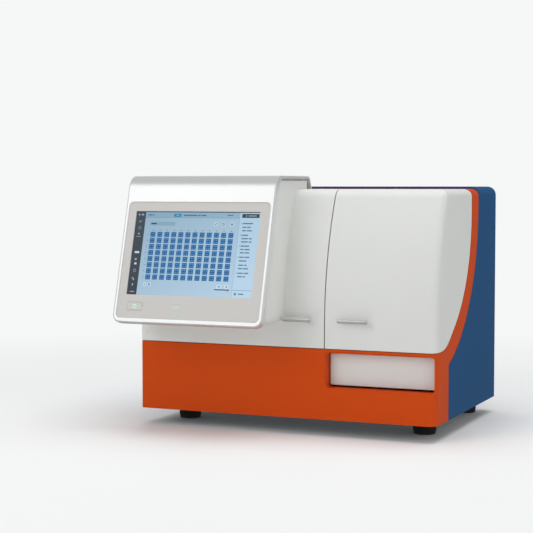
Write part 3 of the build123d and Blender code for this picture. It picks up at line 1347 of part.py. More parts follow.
BUILDERS = {
    "base_moulding": base_moulding,
    "rear_housing": rear_housing,
    "left_door": left_door,
    "right_door": right_door,
    "display_fascia": display_fascia,
    "bezel_plate": bezel_plate,
    "touch_glass": touch_glass,
    "lcd_panel": lcd_panel,
    "display_board": display_board,
    "status_light": status_light,
    "power_button": power_button,
    "left_handle": lambda: bar_handle(HANDLE_LEFT_X),
    "right_handle": lambda: bar_handle(HANDLE_RIGHT_X),
    "left_hinge_leaves": lambda: hinge_leaves(hinge_places()[:2]),
    "right_hinge_leaves": lambda: hinge_leaves(hinge_places()[2:]),
    "hinge_beam": hinge_beam,
    "hinge_pins": hinge_pins,
    "drawer_front": drawer_front,
    "carriage": carriage,
    "slide_blocks": slide_blocks,
    "belt_clamp": belt_clamp,
    "guide_rails": guide_rails,
    "rail_brackets": rail_brackets,
    "motor_pulley": lambda: pulley(MOTOR_DEPTH),
    "idler_pulley": lambda: pulley(IDLER_DEPTH),
    "drive_belt": drive_belt,
    "drive_motor": drive_motor,
    "idler_post": idler_post,
    "chassis_pan": chassis_pan,
    "rubber_feet": rubber_feet,
    "foot_screws": foot_screws,
    "optics_deck": optics_deck,
    "inner_fascia": inner_fascia,
    "filter_slides": filter_slides,
    "read_chamber": read_chamber,
    "monochromators": monochromators,
    "flash_lamp": flash_lamp,
    "photomultiplier": photomultiplier,
    "mainboard": mainboard,
    "power_supply": power_supply,
    "door_magnets": door_magnets,
    "left_strike_plate": lambda: strike_plate(magnet_places()[0]),
    "right_strike_plate": lambda: strike_plate(magnet_places()[1]),
    "rear_panel": rear_panel,
    "rear_screws": rear_screws,
    "fan_frame": fan_frame,
    "fan_rotor": fan_rotor,
    "power_inlet": power_inlet,
    "switch_frame": switch_frame,
    "switch_rocker": switch_rocker,
    "io_ports": io_ports,
    "io_board": io_board,
}


def main():
    """Write each sub-part to its own STEP file, about the origin of the finished model."""
    os.makedirs("parts", exist_ok=True)
    for name, build in BUILDERS.items():
        solid = Pos(-ORIGIN_X, -ORIGIN_Y, 0) * build()
        export_step(solid, os.path.join("parts", name + ".step"))


main()
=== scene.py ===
"""Looks of a bench-top microplate reader, laid out as an add-on and run as a script.

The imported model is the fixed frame. Lengths are in metres unless a name ends
in _mm or _MM, and every finished piece keeps its place in its own mesh.
"""
import json
import math

import bpy
from mathutils import Matrix, Vector


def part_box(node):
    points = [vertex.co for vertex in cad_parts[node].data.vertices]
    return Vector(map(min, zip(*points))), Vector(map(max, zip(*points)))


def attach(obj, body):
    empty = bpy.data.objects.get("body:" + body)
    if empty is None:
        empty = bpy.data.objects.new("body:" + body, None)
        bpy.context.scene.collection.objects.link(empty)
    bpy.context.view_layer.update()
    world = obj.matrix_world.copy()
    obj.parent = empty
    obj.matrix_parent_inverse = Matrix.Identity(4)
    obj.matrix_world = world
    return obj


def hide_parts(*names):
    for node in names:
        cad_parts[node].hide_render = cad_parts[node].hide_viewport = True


bl_info = {
    "name": "Microplate reader looks",
    "version": (1, 0, 0),
    "blender": (4, 5, 0),
    "location": "View3D > Sidebar > Reader",
    "description": "Finishes, screen picture, studio and camera for a microplate reader",
    "category": "Object",
}

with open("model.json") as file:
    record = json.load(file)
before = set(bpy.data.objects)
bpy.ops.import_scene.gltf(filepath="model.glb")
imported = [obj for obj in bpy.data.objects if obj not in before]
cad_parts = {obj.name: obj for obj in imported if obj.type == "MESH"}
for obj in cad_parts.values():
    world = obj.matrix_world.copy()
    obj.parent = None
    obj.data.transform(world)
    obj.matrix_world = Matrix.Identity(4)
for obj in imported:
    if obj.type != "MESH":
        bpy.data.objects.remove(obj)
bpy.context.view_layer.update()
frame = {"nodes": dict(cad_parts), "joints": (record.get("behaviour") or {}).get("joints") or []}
MM = 0.001
GLASS_MM = 1.6          # thickness of the glass over the screen
PRINT_MM = 0.05         # height of one layer of the screen picture

# Layout of the screen picture, in shares of the screen from its upper left corner.
GRID_COLUMNS = 12
GRID_ROWS = 8
GRID_LEFT = 0.135
GRID_TOP = 0.247
BAR_RIGHT = 0.078       # right edge of the dark bar on the left
LINE_LEFT = 0.8395      # line between the grid's field and the list of steps
LINE_RIGHT = 0.8415
LIST_ROWS = (           # top of each row of the list, with the lengths of its words
    (0.128, (0.08,)), (0.172, (0.03, 0.028)), (0.212, (0.03, 0.04)),
    (0.265, (0.05,)), (0.305, (0.052, 0.024)), (0.343, (0.054, 0.022)),
    (0.392, (0.068,)), (0.432, (0.026, 0.042)), (0.47, (0.032, 0.036)),
    (0.522, (0.034, 0.04)), (0.565, (0.058,)), (0.615, (0.038, 0.02)), (0.655, (0.032, 0.04)),
    (0.708, (0.042, 0.036)), (0.748, (0.036, 0.02)),
)

# Camera, from the middle of the base's front edge, in metres and degrees.
CAMERA_ASIDE = 0.92013
CAMERA_AHEAD = 2.20581
CAMERA_HEIGHT = 0.41404
CAMERA_DOWN = 3.22
CAMERA_TURN = 23.257
LENS_MM = 97.39
SENSOR_MM = 36.0


# --- colours and nodes -----------------------------------------------------------
def linear(code):
    """Linear RGBA of an sRGB hex code."""
    channels = [int(code[i:i + 2], 16) / 255 for i in (1, 3, 5)]
    return tuple(c / 12.92 if c <= 0.04045 else ((c + 0.055) / 1.055) ** 2.4 for c in channels) + (1.0,)


def tint(colour):
    """Linear RGBA of a colour property."""
    return tuple(colour) + (1.0,)


def drift(colour, share):
    """A colour a little darker or lighter than the given one."""
    return tuple(channel * share for channel in colour[:3]) + (1.0,)


def add_node(tree, kind, settings=None, links=None):
    """New node with its settings and links: sockets by name or number, else attributes."""
    node = tree.nodes.new(kind)
    for name, value in (settings or {}).items():
        if isinstance(name, int) or name in node.inputs:
            node.inputs[name].default_value = value
        else:
            setattr(node, name, value)
    for socket, source in (links or {}).items():
        tree.links.new(source, node.inputs[socket])
    return node


def new_finish(name, colour, roughness, **settings):
    """Material with one principled shader, and its tree and shader."""
    material = bpy.data.materials.new(name)
    material.use_nodes = True
    tree = material.node_tree
    tree.nodes.clear()
    values = {"Base Color": colour, "Roughness": roughness}
    values.update({key.replace("_", " "): value for key, value in settings.items()})
    shader = add_node(tree, "ShaderNodeBsdfPrincipled", values)
    add_node(tree, "ShaderNodeOutputMaterial", links={"Surface": shader.outputs[0]})
    material.diffuse_color = colour
    return material, tree, shader


def place_on(tree, scale=(1.0, 1.0, 1.0)):
    """Object coordinates of the shaded point, stretched per axis."""
    point = add_node(tree, "ShaderNodeTexCoord").outputs["Object"]
    return add_node(tree, "ShaderNodeMapping", {"Scale": scale}, {"Vector": point}).outputs[0]


def add_grain(tree, shader, grain_mm, height_mm, scale=(1.0, 1.0, 1.0)):
    """Fine moulded, blasted or ground grain as a bump on the shader."""
    noise = add_node(tree, "ShaderNodeTexNoise", {"Scale": 1 / (grain_mm * MM), "Detail": 2.0},
                     {"Vector": place_on(tree, scale)})
    bump = add_node(tree, "ShaderNodeBump", {"Distance": height_mm * MM}, {"Height": noise.outputs[0]})
    tree.links.new(bump.outputs[0], shader.inputs["Normal"])


def add_mottle(tree, shader, colour, other, patch_mm, socket="Base Color"):
    """Slow drift between two near colours over patches of a real size."""
    noise = add_node(tree, "ShaderNodeTexNoise", {"Scale": 1 / (patch_mm * MM), "Detail": 3.0},
                     {"Vector": place_on(tree)})
    mix = add_node(tree, "ShaderNodeMix", {"data_type": "RGBA", 6: colour, 7: other}, {0: noise.outputs[0]})
    tree.links.new(mix.outputs[2], shader.inputs[socket])


# --- finishes -----------------------------------------------------------------------
def moulded_shell(name, colour, roughness=0.42):
    """ABS, injection moulded with a fine spark grain: an even satin colour with a soft, broad highlight."""
    material, tree, shader = new_finish(name, colour, roughness, IOR=1.5, Specular_IOR_Level=0.16)
    add_mottle(tree, shader, colour, drift(colour, 0.95), patch_mm=140)
    add_grain(tree, shader, grain_mm=1.1, height_mm=0.02)
    return material


def blasted_aluminium():
    """Aluminium, bead blasted and clear anodised: a pale silver that gathers a wide, soft highlight."""
    colour = linear("#E9EAEA")
    material, tree, shader = new_finish("aluminium_blasted_anodised", colour, 0.42, Metallic=0.55)
    add_mottle(tree, shader, colour, drift(colour, 0.96), patch_mm=90)
    add_grain(tree, shader, grain_mm=0.9, height_mm=0.008)
    return material


def satin_nickel():
    """Zinc die casting, nickel plated and satin finished: grey metal with long soft streaks of light."""
    colour = linear("#D6D8D8")
    material, tree, shader = new_finish("nickel_satin", colour, 0.36, Metallic=0.55)
    add_mottle(tree, shader, colour, drift(colour, 0.9), patch_mm=12)
    add_grain(tree, shader, grain_mm=0.8, height_mm=0.01, scale=(0.06, 1.0, 1.0))
    return material


def bezel_polycarbonate(name, colour):
    """Polycarbonate, moulded and back painted warm grey: smooth with a low sheen."""
    material, tree, shader = new_finish(name, colour, 0.36, IOR=1.58)
    add_mottle(tree, shader, colour, drift(colour, 0.97), patch_mm=80)
    add_grain(tree, shader, grain_mm=0.8, height_mm=0.008)
    return material


def ground_steel():
    """Carbon steel, centreless ground: bright grey with fine marks round the bar."""
    colour = linear("#B4B6B8")
    material, tree, shader = new_finish("steel_ground", colour, 0.26, Metallic=1.0)
    add_mottle(tree, shader, colour, drift(colour, 0.88), patch_mm=6)
    add_grain(tree, shader, grain_mm=0.7, height_mm=0.01, scale=(0.2, 1.0, 0.2))
    return material


def zinc_sheet():
    """Steel sheet, zinc plated: cool grey with a faint spangle of lighter and darker crystals."""
    material, tree, shader = new_finish("steel_zinc_plated", linear("#9FA4A8"), 0.4, Metallic=0.9)
    cells = add_node(tree, "ShaderNodeTexVoronoi", {"Scale": 1 / (9 * MM)}, {"Vector": place_on(tree)})
    share = add_node(tree, "ShaderNodeSeparateColor", links={0: cells.outputs["Color"]})
    mix = add_node(tree, "ShaderNodeMix", {"data_type": "RGBA", 6: linear("#989DA2"), 7: linear("#ABAFB3")},
                   {0: share.outputs[0]})
    tree.links.new(mix.outputs[2], shader.inputs["Base Color"])
    add_grain(tree, shader, grain_mm=1.5, height_mm=0.01)
    return material


def powder_coat(name, colour):
    """Steel sheet, powder coated: a matt skin with a fine orange-peel ripple."""
    material, tree, shader = new_finish(name, colour, 0.5, IOR=1.5)
    add_mottle(tree, shader, colour, drift(colour, 0.92), patch_mm=60)
    add_grain(tree, shader, grain_mm=1.6, height_mm=0.05)
    return material


def black_casting():
    """Aluminium, die cast and black anodised: near black with a dull, grainy sheen."""
    colour = linear("#1B1C1E")
    material, tree, shader = new_finish("aluminium_cast_black", colour, 0.45, Metallic=0.5)
    add_mottle(tree, shader, colour, drift(colour, 1.6), patch_mm=20)
    add_grain(tree, shader, grain_mm=1.2, height_mm=0.06)
    return material


def black_nylon():
    """Nylon, glass filled and moulded: black with a slightly cloudy satin surface."""
    colour = linear("#161617")
    material, tree, shader = new_finish("nylon_black", colour, 0.45, IOR=1.53)
    add_mottle(tree, shader, colour, drift(colour, 1.5), patch_mm=12)
    add_grain(tree, shader, grain_mm=0.8, height_mm=0.02)
    return material


def foot_rubber():
    """Neoprene rubber, moulded: deep black, matt, with a faint bloom."""
    colour = linear("#0B0B0B")
    material, tree, shader = new_finish("neoprene_black", colour, 0.75, IOR=1.52)
    add_mottle(tree, shader, colour, drift(colour, 1.7), patch_mm=9)
    add_grain(tree, shader, grain_mm=0.9, height_mm=0.03)
    return material


def milled_aluminium():
    """Aluminium, milled: pale metal with straight tool marks, drawn coarser than real so that they show."""
    colour = linear("#C4C6C8")
    material, tree, shader = new_finish("aluminium_milled", colour, 0.32, Metallic=1.0)
    add_mottle(tree, shader, colour, drift(colour, 0.93), patch_mm=25)
    add_grain(tree, shader, grain_mm=0.9, height_mm=0.012, scale=(1.0, 0.04, 1.0))
    return material


def circuit_board():
    """Glass-epoxy board, solder masked: green gloss with paler tracks under the mask."""
    material, tree, shader = new_finish("glass_epoxy_green", linear("#14532B"), 0.35, IOR=1.55)
    cells = add_node(tree, "ShaderNodeTexVoronoi", {"feature": "DISTANCE_TO_EDGE", "Scale": 1 / (7 * MM)},
                     {"Vector": place_on(tree)})
    edge = add_node(tree, "ShaderNodeMath", {"operation": "LESS_THAN", 1: 0.06}, {0: cells.outputs[0]})
    mix = add_node(tree, "ShaderNodeMix", {"data_type": "RGBA", 6: linear("#14532B"), 7: linear("#2C7A45")},
                   {0: edge.outputs[0]})
    tree.links.new(mix.outputs[2], shader.inputs["Base Color"])
    return material


def light_guide(name, colour, strength):
    """Polycarbonate light guide, moulded and lit from behind: a soft even glow."""
    material, tree, shader = new_finish(name, colour, 0.3, IOR=1.58)
    shader.inputs["Emission Strength"].default_value = strength
    add_mottle(tree, shader, colour, drift(colour, 0.9), patch_mm=8)
    add_mottle(tree, shader, colour, drift(colour, 0.9), patch_mm=8, socket="Emission Color")
    return material


def screen_layer(name, colour, other):
    """Part of a lit liquid crystal picture under bonded cover glass: clear gloss over a steady glow.

    The second colour is reached at the right and lower edges: a painted reflection that shifts the glow's
    colour across the panel.
    """
    material, tree, shader = new_finish(name, linear("#0B0D10"), 0.5, Specular_IOR_Level=0.0, Coat_Weight=0.3,
                                        Coat_Roughness=0.05, Coat_IOR=1.5, Emission_Strength=0.92)
    low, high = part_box("touch_glass")
    point = add_node(tree, "ShaderNodeSeparateXYZ", links={0: place_on(tree)})
    across = add_node(tree, "ShaderNodeMapRange", {1: low.x, 2: high.x, 4: 0.5}, {0: point.outputs[0]})
    drop = add_node(tree, "ShaderNodeMapRange", {1: high.z, 2: low.z, 4: 0.5}, {0: point.outputs[2]})
    # Painted reflection: share of the second colour, growing towards the right and the bottom of the screen.
    painted_reflection_share = add_node(tree, "ShaderNodeMath", links={0: across.outputs[0], 1: drop.outputs[0]})
    mix = add_node(tree, "ShaderNodeMix", {"data_type": "RGBA", 6: colour, 7: other}, {0: painted_reflection_share.outputs[0]})
    tree.links.new(mix.outputs[2], shader.inputs["Emission Color"])
    return material


# --- modelling helpers --------------------------------------------------------------
def deselect():
    """Nothing selected, so that the next operator acts on its own object only."""
    if bpy.context.object and bpy.context.object.mode != "OBJECT":
        bpy.ops.object.mode_set(mode="OBJECT")
    bpy.ops.object.select_all(action="DESELECT")


def pick(obj):
    """Make one object the only selected and active one."""
    deselect()
    obj.select_set(True)
    bpy.context.view_layer.objects.active = obj
    return obj


def join(name, objs):
    """Join objects into one mesh with one name."""
    deselect()
    for obj in objs:
        obj.select_set(True)
    bpy.context.view_layer.objects.active = objs[0]
    if len(objs) > 1:
        bpy.ops.object.join()
    result = bpy.context.object
    result.name = name
    result.data.name = name
    return result


def apply_modifier(obj, kind, **settings):
    """Add one modifier, set it and apply it."""
    pick(obj)
    modifier = obj.modifiers.new(kind.title(), kind)
    for key, value in settings.items():
        setattr(modifier, key, value)
    bpy.ops.object.modifier_apply(modifier=modifier.name)
    return obj


def thicken(thickness):
    """Pull the flat faces in edit mode up into a closed tile and leave edit mode."""
    bpy.ops.mesh.select_all(action="SELECT")
    bpy.ops.mesh.extrude_region_move(TRANSFORM_OT_translate={"value": (0, 0, thickness)})
    bpy.ops.mesh.select_all(action="SELECT")
    bpy.ops.mesh.normals_make_consistent(inside=False)
    bpy.ops.object.mode_set(mode="OBJECT")
    return bpy.context.object


def slab(x, y, width, height, corner, base, thickness):
    """Flat tile with rounded corners, centred at x, y and standing on a level."""
    deselect()
    bpy.ops.mesh.primitive_plane_add(size=1, location=(x, y, base))
    bpy.ops.object.mode_set(mode="EDIT")
    bpy.ops.mesh.select_all(action="SELECT")
    bpy.ops.transform.resize(value=(width, height, 1), center_override=(x, y, base))
    if corner:
        bpy.ops.mesh.bevel(offset=corner, segments=3, affect="VERTICES")
    return thicken(thickness)


def ring(x, y, outer, line, base, thickness):
    """Flat ring: a disc inset, its middle deleted, and pulled up."""
    deselect()
    bpy.ops.mesh.primitive_circle_add(vertices=32, radius=outer, fill_type="NGON", location=(x, y, base))
    bpy.ops.object.mode_set(mode="EDIT")
    bpy.ops.mesh.select_all(action="SELECT")
    bpy.ops.mesh.inset(thickness=line, depth=0)
    bpy.ops.mesh.delete(type="FACE")
    return thicken(thickness)


def turned(obj, angle):
    """Turn a flat tile about its own centre."""
    pick(obj)
    obj.rotation_euler.z = math.radians(angle)
    bpy.ops.object.transform_apply(location=True, rotation=True, scale=True)
    return obj


def repeated(obj, count_x, count_y, pitch_x, pitch_y):
    """Copy a tile into a grid that runs right and down."""
    for count, step in ((count_x, (pitch_x, 0, 0)), (count_y, (0, -pitch_y, 0))):
        if count > 1:
            apply_modifier(obj, "ARRAY", count=count, use_relative_offset=False, use_constant_offset=True,
                           constant_offset_displace=step)
    return obj


def settle(obj, matrix, body, material):
    """Put a piece made flat where it belongs, with its place in its mesh, and let it ride."""
    pick(obj)
    obj.matrix_world = matrix @ obj.matrix_world
    bpy.ops.object.transform_apply(location=True, rotation=True, scale=True)
    obj.data.materials.clear()
    obj.data.materials.append(material)
    bpy.ops.object.shade_smooth_by_angle(angle=math.radians(35))
    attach(obj, body)
    return obj


def paint(material, *nodes):
    """Give CAD nodes one material."""
    for name in nodes:
        node = frame["nodes"][name]
        if not node.material_slots:
            node.data.materials.append(material)
        for material_slot in node.material_slots:
            material_slot.material = material


# --- frame of the display ---------------------------------------------------------------
def display_outward():
    """Unit normal of the display face: against the way in which the power button is pressed."""
    joint = [j for j in frame["joints"] if j["name"] == "power_button_press"][0]
    return -Vector(joint["axis"]).normalized()


def face_matrix(origin):
    """Frame on the display face: X across, Y up the face, Z outward."""
    outward = display_outward()
    across = Vector((1, 0, 0))
    axes = Matrix((across, outward.cross(across), outward)).transposed().to_4x4()
    return Matrix.Translation(origin) @ axes


def glass_frame():
    """Matrix of the glass's front face from its lower left corner, its width and its height."""
    low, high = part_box("touch_glass")
    outward = display_outward()
    lift = GLASS_MM * MM * outward.z
    height = (high.z - low.z - lift) / math.hypot(outward.x, outward.y)
    return face_matrix(Vector((low.x, low.y, low.z + lift))), high.x - low.x, height


# --- sizes and colours that a user would change ----------------------------------------
def colour_setting(name, description, code):
    """Colour property with an sRGB hex default."""
    return bpy.props.FloatVectorProperty(name=name, description=description, subtype="COLOR", size=3,
                                         min=0, max=1, default=linear(code)[:3])


def length_setting(name, description, millimetres):
    """Length property in metres with its default in millimetres."""
    return bpy.props.FloatProperty(name=name, description=description, default=millimetres * MM,
                                   min=0, subtype="DISTANCE", unit="LENGTH")


class ReaderColours(bpy.types.PropertyGroup):
    """Colours of the mouldings and of the screen"""
    base: colour_setting("Base and band", "Colour of the base moulding with its swept band", "#D24900")
    rear: colour_setting("Rear housing", "Colour of the rear shell", "#0A5183")
    doors: colour_setting("Doors and drawer", "Colour of the doors and the drawer front", "#E2E3E0")
    bezel: colour_setting("Bezel", "Colour of the plate round the screen", "#C8C6C3")
    field: colour_setting("Screen field", "Blue field of the screen at its upper left", "#90B0C5")
    bar: colour_setting("Screen bar", "Dark bar down the left of the screen", "#34414C")
    well: colour_setting("Well tiles", "Tiles that stand for the wells of a microplate", "#0F62A0")


class ReaderSizes(bpy.types.PropertyGroup):
    """Sizes of the screen picture and of the studio"""
    tile_width: length_setting("Tile width", "Width of one well tile on the screen", 9.0)
    tile_height: length_setting("Tile height", "Height of one well tile on the screen", 8.6)
    column_pitch: length_setting("Column pitch", "Distance between two columns of tiles", 13.1)
    row_pitch: length_setting("Row pitch", "Distance between two rows of tiles", 10.45)
    floor_radius: length_setting("Floor radius", "Reach of the studio floor", 14000)


# --- pieces ---------------------------------------------------------------------------
class READER_OT_finishes(bpy.types.Operator):
    """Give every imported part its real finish"""
    bl_idname = "reader.finishes"
    bl_label = "Finishes"

    def execute(self, context):
        colours = context.scene.reader_colours
        paint(moulded_shell("abs_moulded_orange", tint(colours.base)), "base_moulding")
        paint(moulded_shell("abs_moulded_blue", tint(colours.rear)), "rear_housing")
        white = moulded_shell("abs_moulded_white", tint(colours.doors))
        paint(white, "left_door", "right_door", "drawer_front")
        paint(blasted_aluminium(), "display_fascia")
        paint(bezel_polycarbonate("polycarbonate_bezel", tint(colours.bezel)), "bezel_plate", "power_button")
        paint(satin_nickel(), "left_handle", "right_handle")
        paint(foot_rubber(), "rubber_feet", "drive_belt")
        paint(zinc_sheet(), "chassis_pan", "hinge_beam", "rail_brackets", "optics_deck", "idler_post",
              "left_strike_plate", "right_strike_plate", "left_hinge_leaves", "right_hinge_leaves")
        paint(powder_coat("steel_powder_coat_grey", linear("#A9ABAC")), "inner_fascia", "power_supply")
        paint(powder_coat("steel_powder_coat_dark", linear("#2B2D30")), "rear_panel")
        paint(black_casting(), "read_chamber", "monochromators", "flash_lamp", "photomultiplier",
              "drive_motor")
        paint(black_nylon(), "fan_frame", "fan_rotor", "power_inlet", "switch_frame", "switch_rocker",
              "io_ports", "lcd_panel", "door_magnets")
        paint(milled_aluminium(), "carriage", "belt_clamp", "motor_pulley", "idler_pulley", "filter_slides",
              "slide_blocks")
        paint(ground_steel(), "guide_rails", "hinge_pins", "foot_screws", "rear_screws")
        paint(circuit_board(), "display_board", "mainboard", "io_board")
        guide = light_guide("polycarbonate_light_guide", linear("#BFC9BF"), 0.08)
        paint(guide, "status_light", "touch_glass")
        return {"FINISHED"}


def layer_span(layer):
    """Base and thickness of a layer of the screen picture, rooted a little below the glass face."""
    return -PRINT_MM * MM, (1 + layer) * PRINT_MM * MM


def bars(width, height, layer, shares):
    """Rounded bars given by shares of the screen: left, top, right, bottom, then corner in mm."""
    made = []
    for left, top, right, bottom, corner in shares:
        x = (left + right) / 2 * width
        y = (1 - (top + bottom) / 2) * height
        size = ((right - left) * width, (bottom - top) * height)
        made.append(slab(x, y, *size, corner * MM, *layer_span(layer)))
    return made


def rings(width, height, layer, shares):
    """Rings given by their centre as shares of the screen, then outer radius and line width in mm."""
    return [ring(left * width, (1 - top) * height, radius * MM, line * MM, *layer_span(layer))
            for left, top, radius, line in shares]


def text_rows(left, rows, height_share):
    """Rows of words drawn as bars: top of each row with the lengths of its words, as shares of the screen."""
    shares = []
    for top, words in rows:
        x = left
        for word in words:
            shares.append((x, top, x + word, top + height_share, 0.25))
            x += word + 0.006
    return shares


class READER_OT_screen_picture(bpy.types.Operator):
    """Build the lit screen with its plate map, its bar of icons and its list of steps"""
    bl_idname = "reader.screen_picture"
    bl_label = "Screen picture"

    def execute(self, context):
        colours = context.scene.reader_colours
        sizes = context.scene.reader_sizes
        matrix, width, height = glass_frame()
        glass = GLASS_MM * MM

        def printed(name, objs, material):
            return settle(join(name, objs), matrix, "left_door", material)

        field = slab(width / 2, height / 2, width, height, 0, -glass, glass)
        # Each layer's second colour is its painted reflection at the right and lower edges of the screen.
        printed("screen_field", [field], screen_layer("screen_field", tint(colours.field), linear("#BAD6EC")))
        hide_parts("touch_glass")

        strip = bars(width, height, 1, [(BAR_RIGHT, 0.0, LINE_LEFT, 0.07, 0)])
        printed("screen_header", strip, screen_layer("screen_header", linear("#82A6BE"), linear("#A3C5DB")))
        steps = bars(width, height, 1, [(LINE_RIGHT, 0.0, 1.0, 0.911, 0), (LINE_RIGHT, 0.917, 1.0, 1.0, 0)])
        printed("screen_steps", steps, screen_layer("screen_steps", linear("#A2C4DB"), linear("#BEDBF1")))
        lines = bars(width, height, 1, [(LINE_LEFT, 0, LINE_RIGHT, 1, 0), (LINE_RIGHT, 0.911, 1, 0.917, 0),
                                        (BAR_RIGHT, 0.07, LINE_LEFT, 0.075, 0)])
        printed("screen_lines", lines, screen_layer("screen_lines", linear("#5F8BA9"), linear("#7BA3C1")))
        dark = bars(width, height, 2, [(0, 0, BAR_RIGHT, 1, 0), (0.858, 0.022, 0.994, 0.068, 0.6)])
        printed("screen_bar", dark, screen_layer("screen_bar", tint(colours.bar), linear("#1E2A36")))
        edge = bars(width, height, 3, [(0, 0, 1, 0.009, 0)])
        printed("screen_edge", edge, screen_layer("screen_edge", linear("#2A3A48"), linear("#2A3A48")))

        column = GRID_LEFT * width + sizes.tile_width / 2
        row = (1 - GRID_TOP) * height - sizes.tile_height / 2
        grid = (GRID_COLUMNS, GRID_ROWS, sizes.column_pitch, sizes.row_pitch)
        tile = slab(column, row, sizes.tile_width, sizes.tile_height, 0.35 * MM, *layer_span(1))
        printed("screen_wells", [repeated(tile, *grid)],
                screen_layer("screen_wells", tint(colours.well), linear("#10639E")))
        strokes = []
        for angle in (45, -45):
            stroke = slab(column, row, 7.4 * MM, 1.0 * MM, 0.3 * MM, *layer_span(2 if angle > 0 else 2.5))
            strokes.append(repeated(turned(stroke, angle), *grid))
        printed("screen_well_marks", strokes,
                screen_layer("screen_well_marks", linear("#4E9AD0"), linear("#5AA4D8")))
        dots = [slab(column, row, 2.4 * MM, 2.4 * MM, 0.6 * MM, *layer_span(3))]
        for side in (-1, 1):
            dots.append(slab(column + side * 2.9 * MM, row, 1.4 * MM, 1.8 * MM, 0.4 * MM, *layer_span(3)))
        dots = [repeated(dot, *grid) for dot in dots]
        printed("screen_well_dots", dots,
                screen_layer("screen_well_dots", linear("#0B4F86"), linear("#0B4F86")))

        heads = slab(column, row + 7.3 * MM, 2.4 * MM, 1.2 * MM, 0.3 * MM, *layer_span(1))
        sides = slab(column - 9.2 * MM, row, 1.2 * MM, 1.8 * MM, 0.3 * MM, *layer_span(1))
        heads = repeated(heads, GRID_COLUMNS, 1, sizes.column_pitch, 0)
        sides = repeated(sides, 1, GRID_ROWS, 0, sizes.row_pitch)
        header = bars(width, height, 2, text_rows(0.1, [(0.036, (0.03, 0.012))], 0.014)
                      + text_rows(0.39, [(0.036, (0.11, 0.02, 0.042))], 0.016)
                      + text_rows(0.742, [(0.034, (0.045,))], 0.012))
        marks = bars(width, height, 3, [(0.728, 0.872, 0.744, 0.886, 0.3), (0.79, 0.87, 0.8, 0.888, 0.3),
                                        (0.13, 0.872, 0.142, 0.878, 0.3)])
        grey = screen_layer("screen_labels", linear("#476A86"), linear("#53768F"))
        printed("screen_labels", [heads, sides, *header, *marks], grey)

        bullets = [(top, (0.005,)) for top in (0.128, 0.265, 0.392, 0.522, 0.708)]
        listed = bars(width, height, 2, text_rows(0.87, LIST_ROWS, 0.014)
                      + text_rows(0.858, bullets, 0.014) + text_rows(0.892, [(0.95, (0.042,))], 0.014))
        printed("screen_list", listed, screen_layer("screen_list", linear("#4F708A"), linear("#5A7B95")))

        discs = [slab(left * width, (1 - 0.146) * height, 7.4 * MM, 7.4 * MM, 3.4 * MM, *layer_span(1))
                 for left in (0.657, 0.716, 0.784)]
        pads = bars(width, height, 1, [(0.123, 0.852, 0.149, 0.896, 1.2), (0.159, 0.852, 0.187, 0.896, 1.2),
                                       (0.716, 0.857, 0.752, 0.901, 1.2), (0.777, 0.857, 0.813, 0.901, 1.2)])
        printed("screen_pads", [*discs, *pads],
                screen_layer("screen_pads", linear("#ACCBE0"), linear("#D2E6F4")))
        box = bars(width, height, 1, [(0.122, 0.125, 0.327, 0.17, 0.4)])
        printed("screen_box", box, screen_layer("screen_box", linear("#84A8BF"), linear("#84A8BF")))

        ink = bars(width, height, 2, [(0.702, 0.908, 0.82, 0.92, 0.3), (0.169, 0.86, 0.177, 0.888, 0.4),
                                      (0.131, 0.14, 0.176, 0.155, 0.25)])
        dials = rings(width, height, 2, [(0.716, 0.146, 2.3, 0.9), (0.868, 0.957, 2.1, 1.1)])
        clip = turned(bars(width, height, 2, [(0.647, 0.142, 0.668, 0.15, 0.2)])[0], 50)
        bin_shape = bars(width, height, 2, [(0.779, 0.135, 0.79, 0.159, 0.4)])
        printed("screen_ink", [*ink, *dials, clip, *bin_shape],
                screen_layer("screen_ink", linear("#12304A"), linear("#173650")))

        pill = bars(width, height, 2, [(0.311, 0.026, 0.371, 0.064, 1.8)])
        printed("screen_pill", pill, screen_layer("screen_pill", linear("#1B86B4"), linear("#1B86B4")))
        notes = bars(width, height, 3, [(0.329, 0.04, 0.353, 0.05, 0.3), (0.887, 0.039, 0.897, 0.052, 0.3),
                                        (0.907, 0.04, 0.972, 0.05, 0.3), (0.018, 0.03, 0.03, 0.05, 0.3),
                                        (0.042, 0.03, 0.062, 0.05, 0.3)])
        icons = bars(width, height, 3, [(0.026, 0.115, 0.054, 0.12, 0.2), (0.026, 0.128, 0.046, 0.133, 0.2),
                                        (0.02, 0.302, 0.056, 0.308, 0.2), (0.03, 0.262, 0.046, 0.28, 1.0),
                                        (0.03, 0.565, 0.046, 0.59, 1.0), (0.026, 0.792, 0.033, 0.815, 0.3),
                                        (0.035, 0.804, 0.044, 0.829, 0.3), (0.032, 0.868, 0.042, 0.894, 0.4)])
        wheels = rings(width, height, 3, [(0.04, 0.2, 2.6, 0.6), (0.04, 0.712, 2.7, 0.7)])
        printed("screen_icons", [*notes, *icons, *wheels],
                screen_layer("screen_icons", linear("#93A6B4"), linear("#A9BBC8")))
        white = bars(width, height, 3, [(0.022, 0.482, 0.06, 0.506, 0.8), (0.03, 0.618, 0.05, 0.642, 1.2)])
        printed("screen_white", white, screen_layer("screen_white", linear("#C9D8E2"), linear("#C9D8E2")))
        red = bars(width, height, 3, [(0.8, 0.923, 0.814, 0.932, 0.4), (0.022, 0.96, 0.058, 0.97, 0.4)])
        printed("screen_red", red, screen_layer("screen_red", linear("#D79A94"), linear("#B99AA4")))
        return {"FINISHED"}


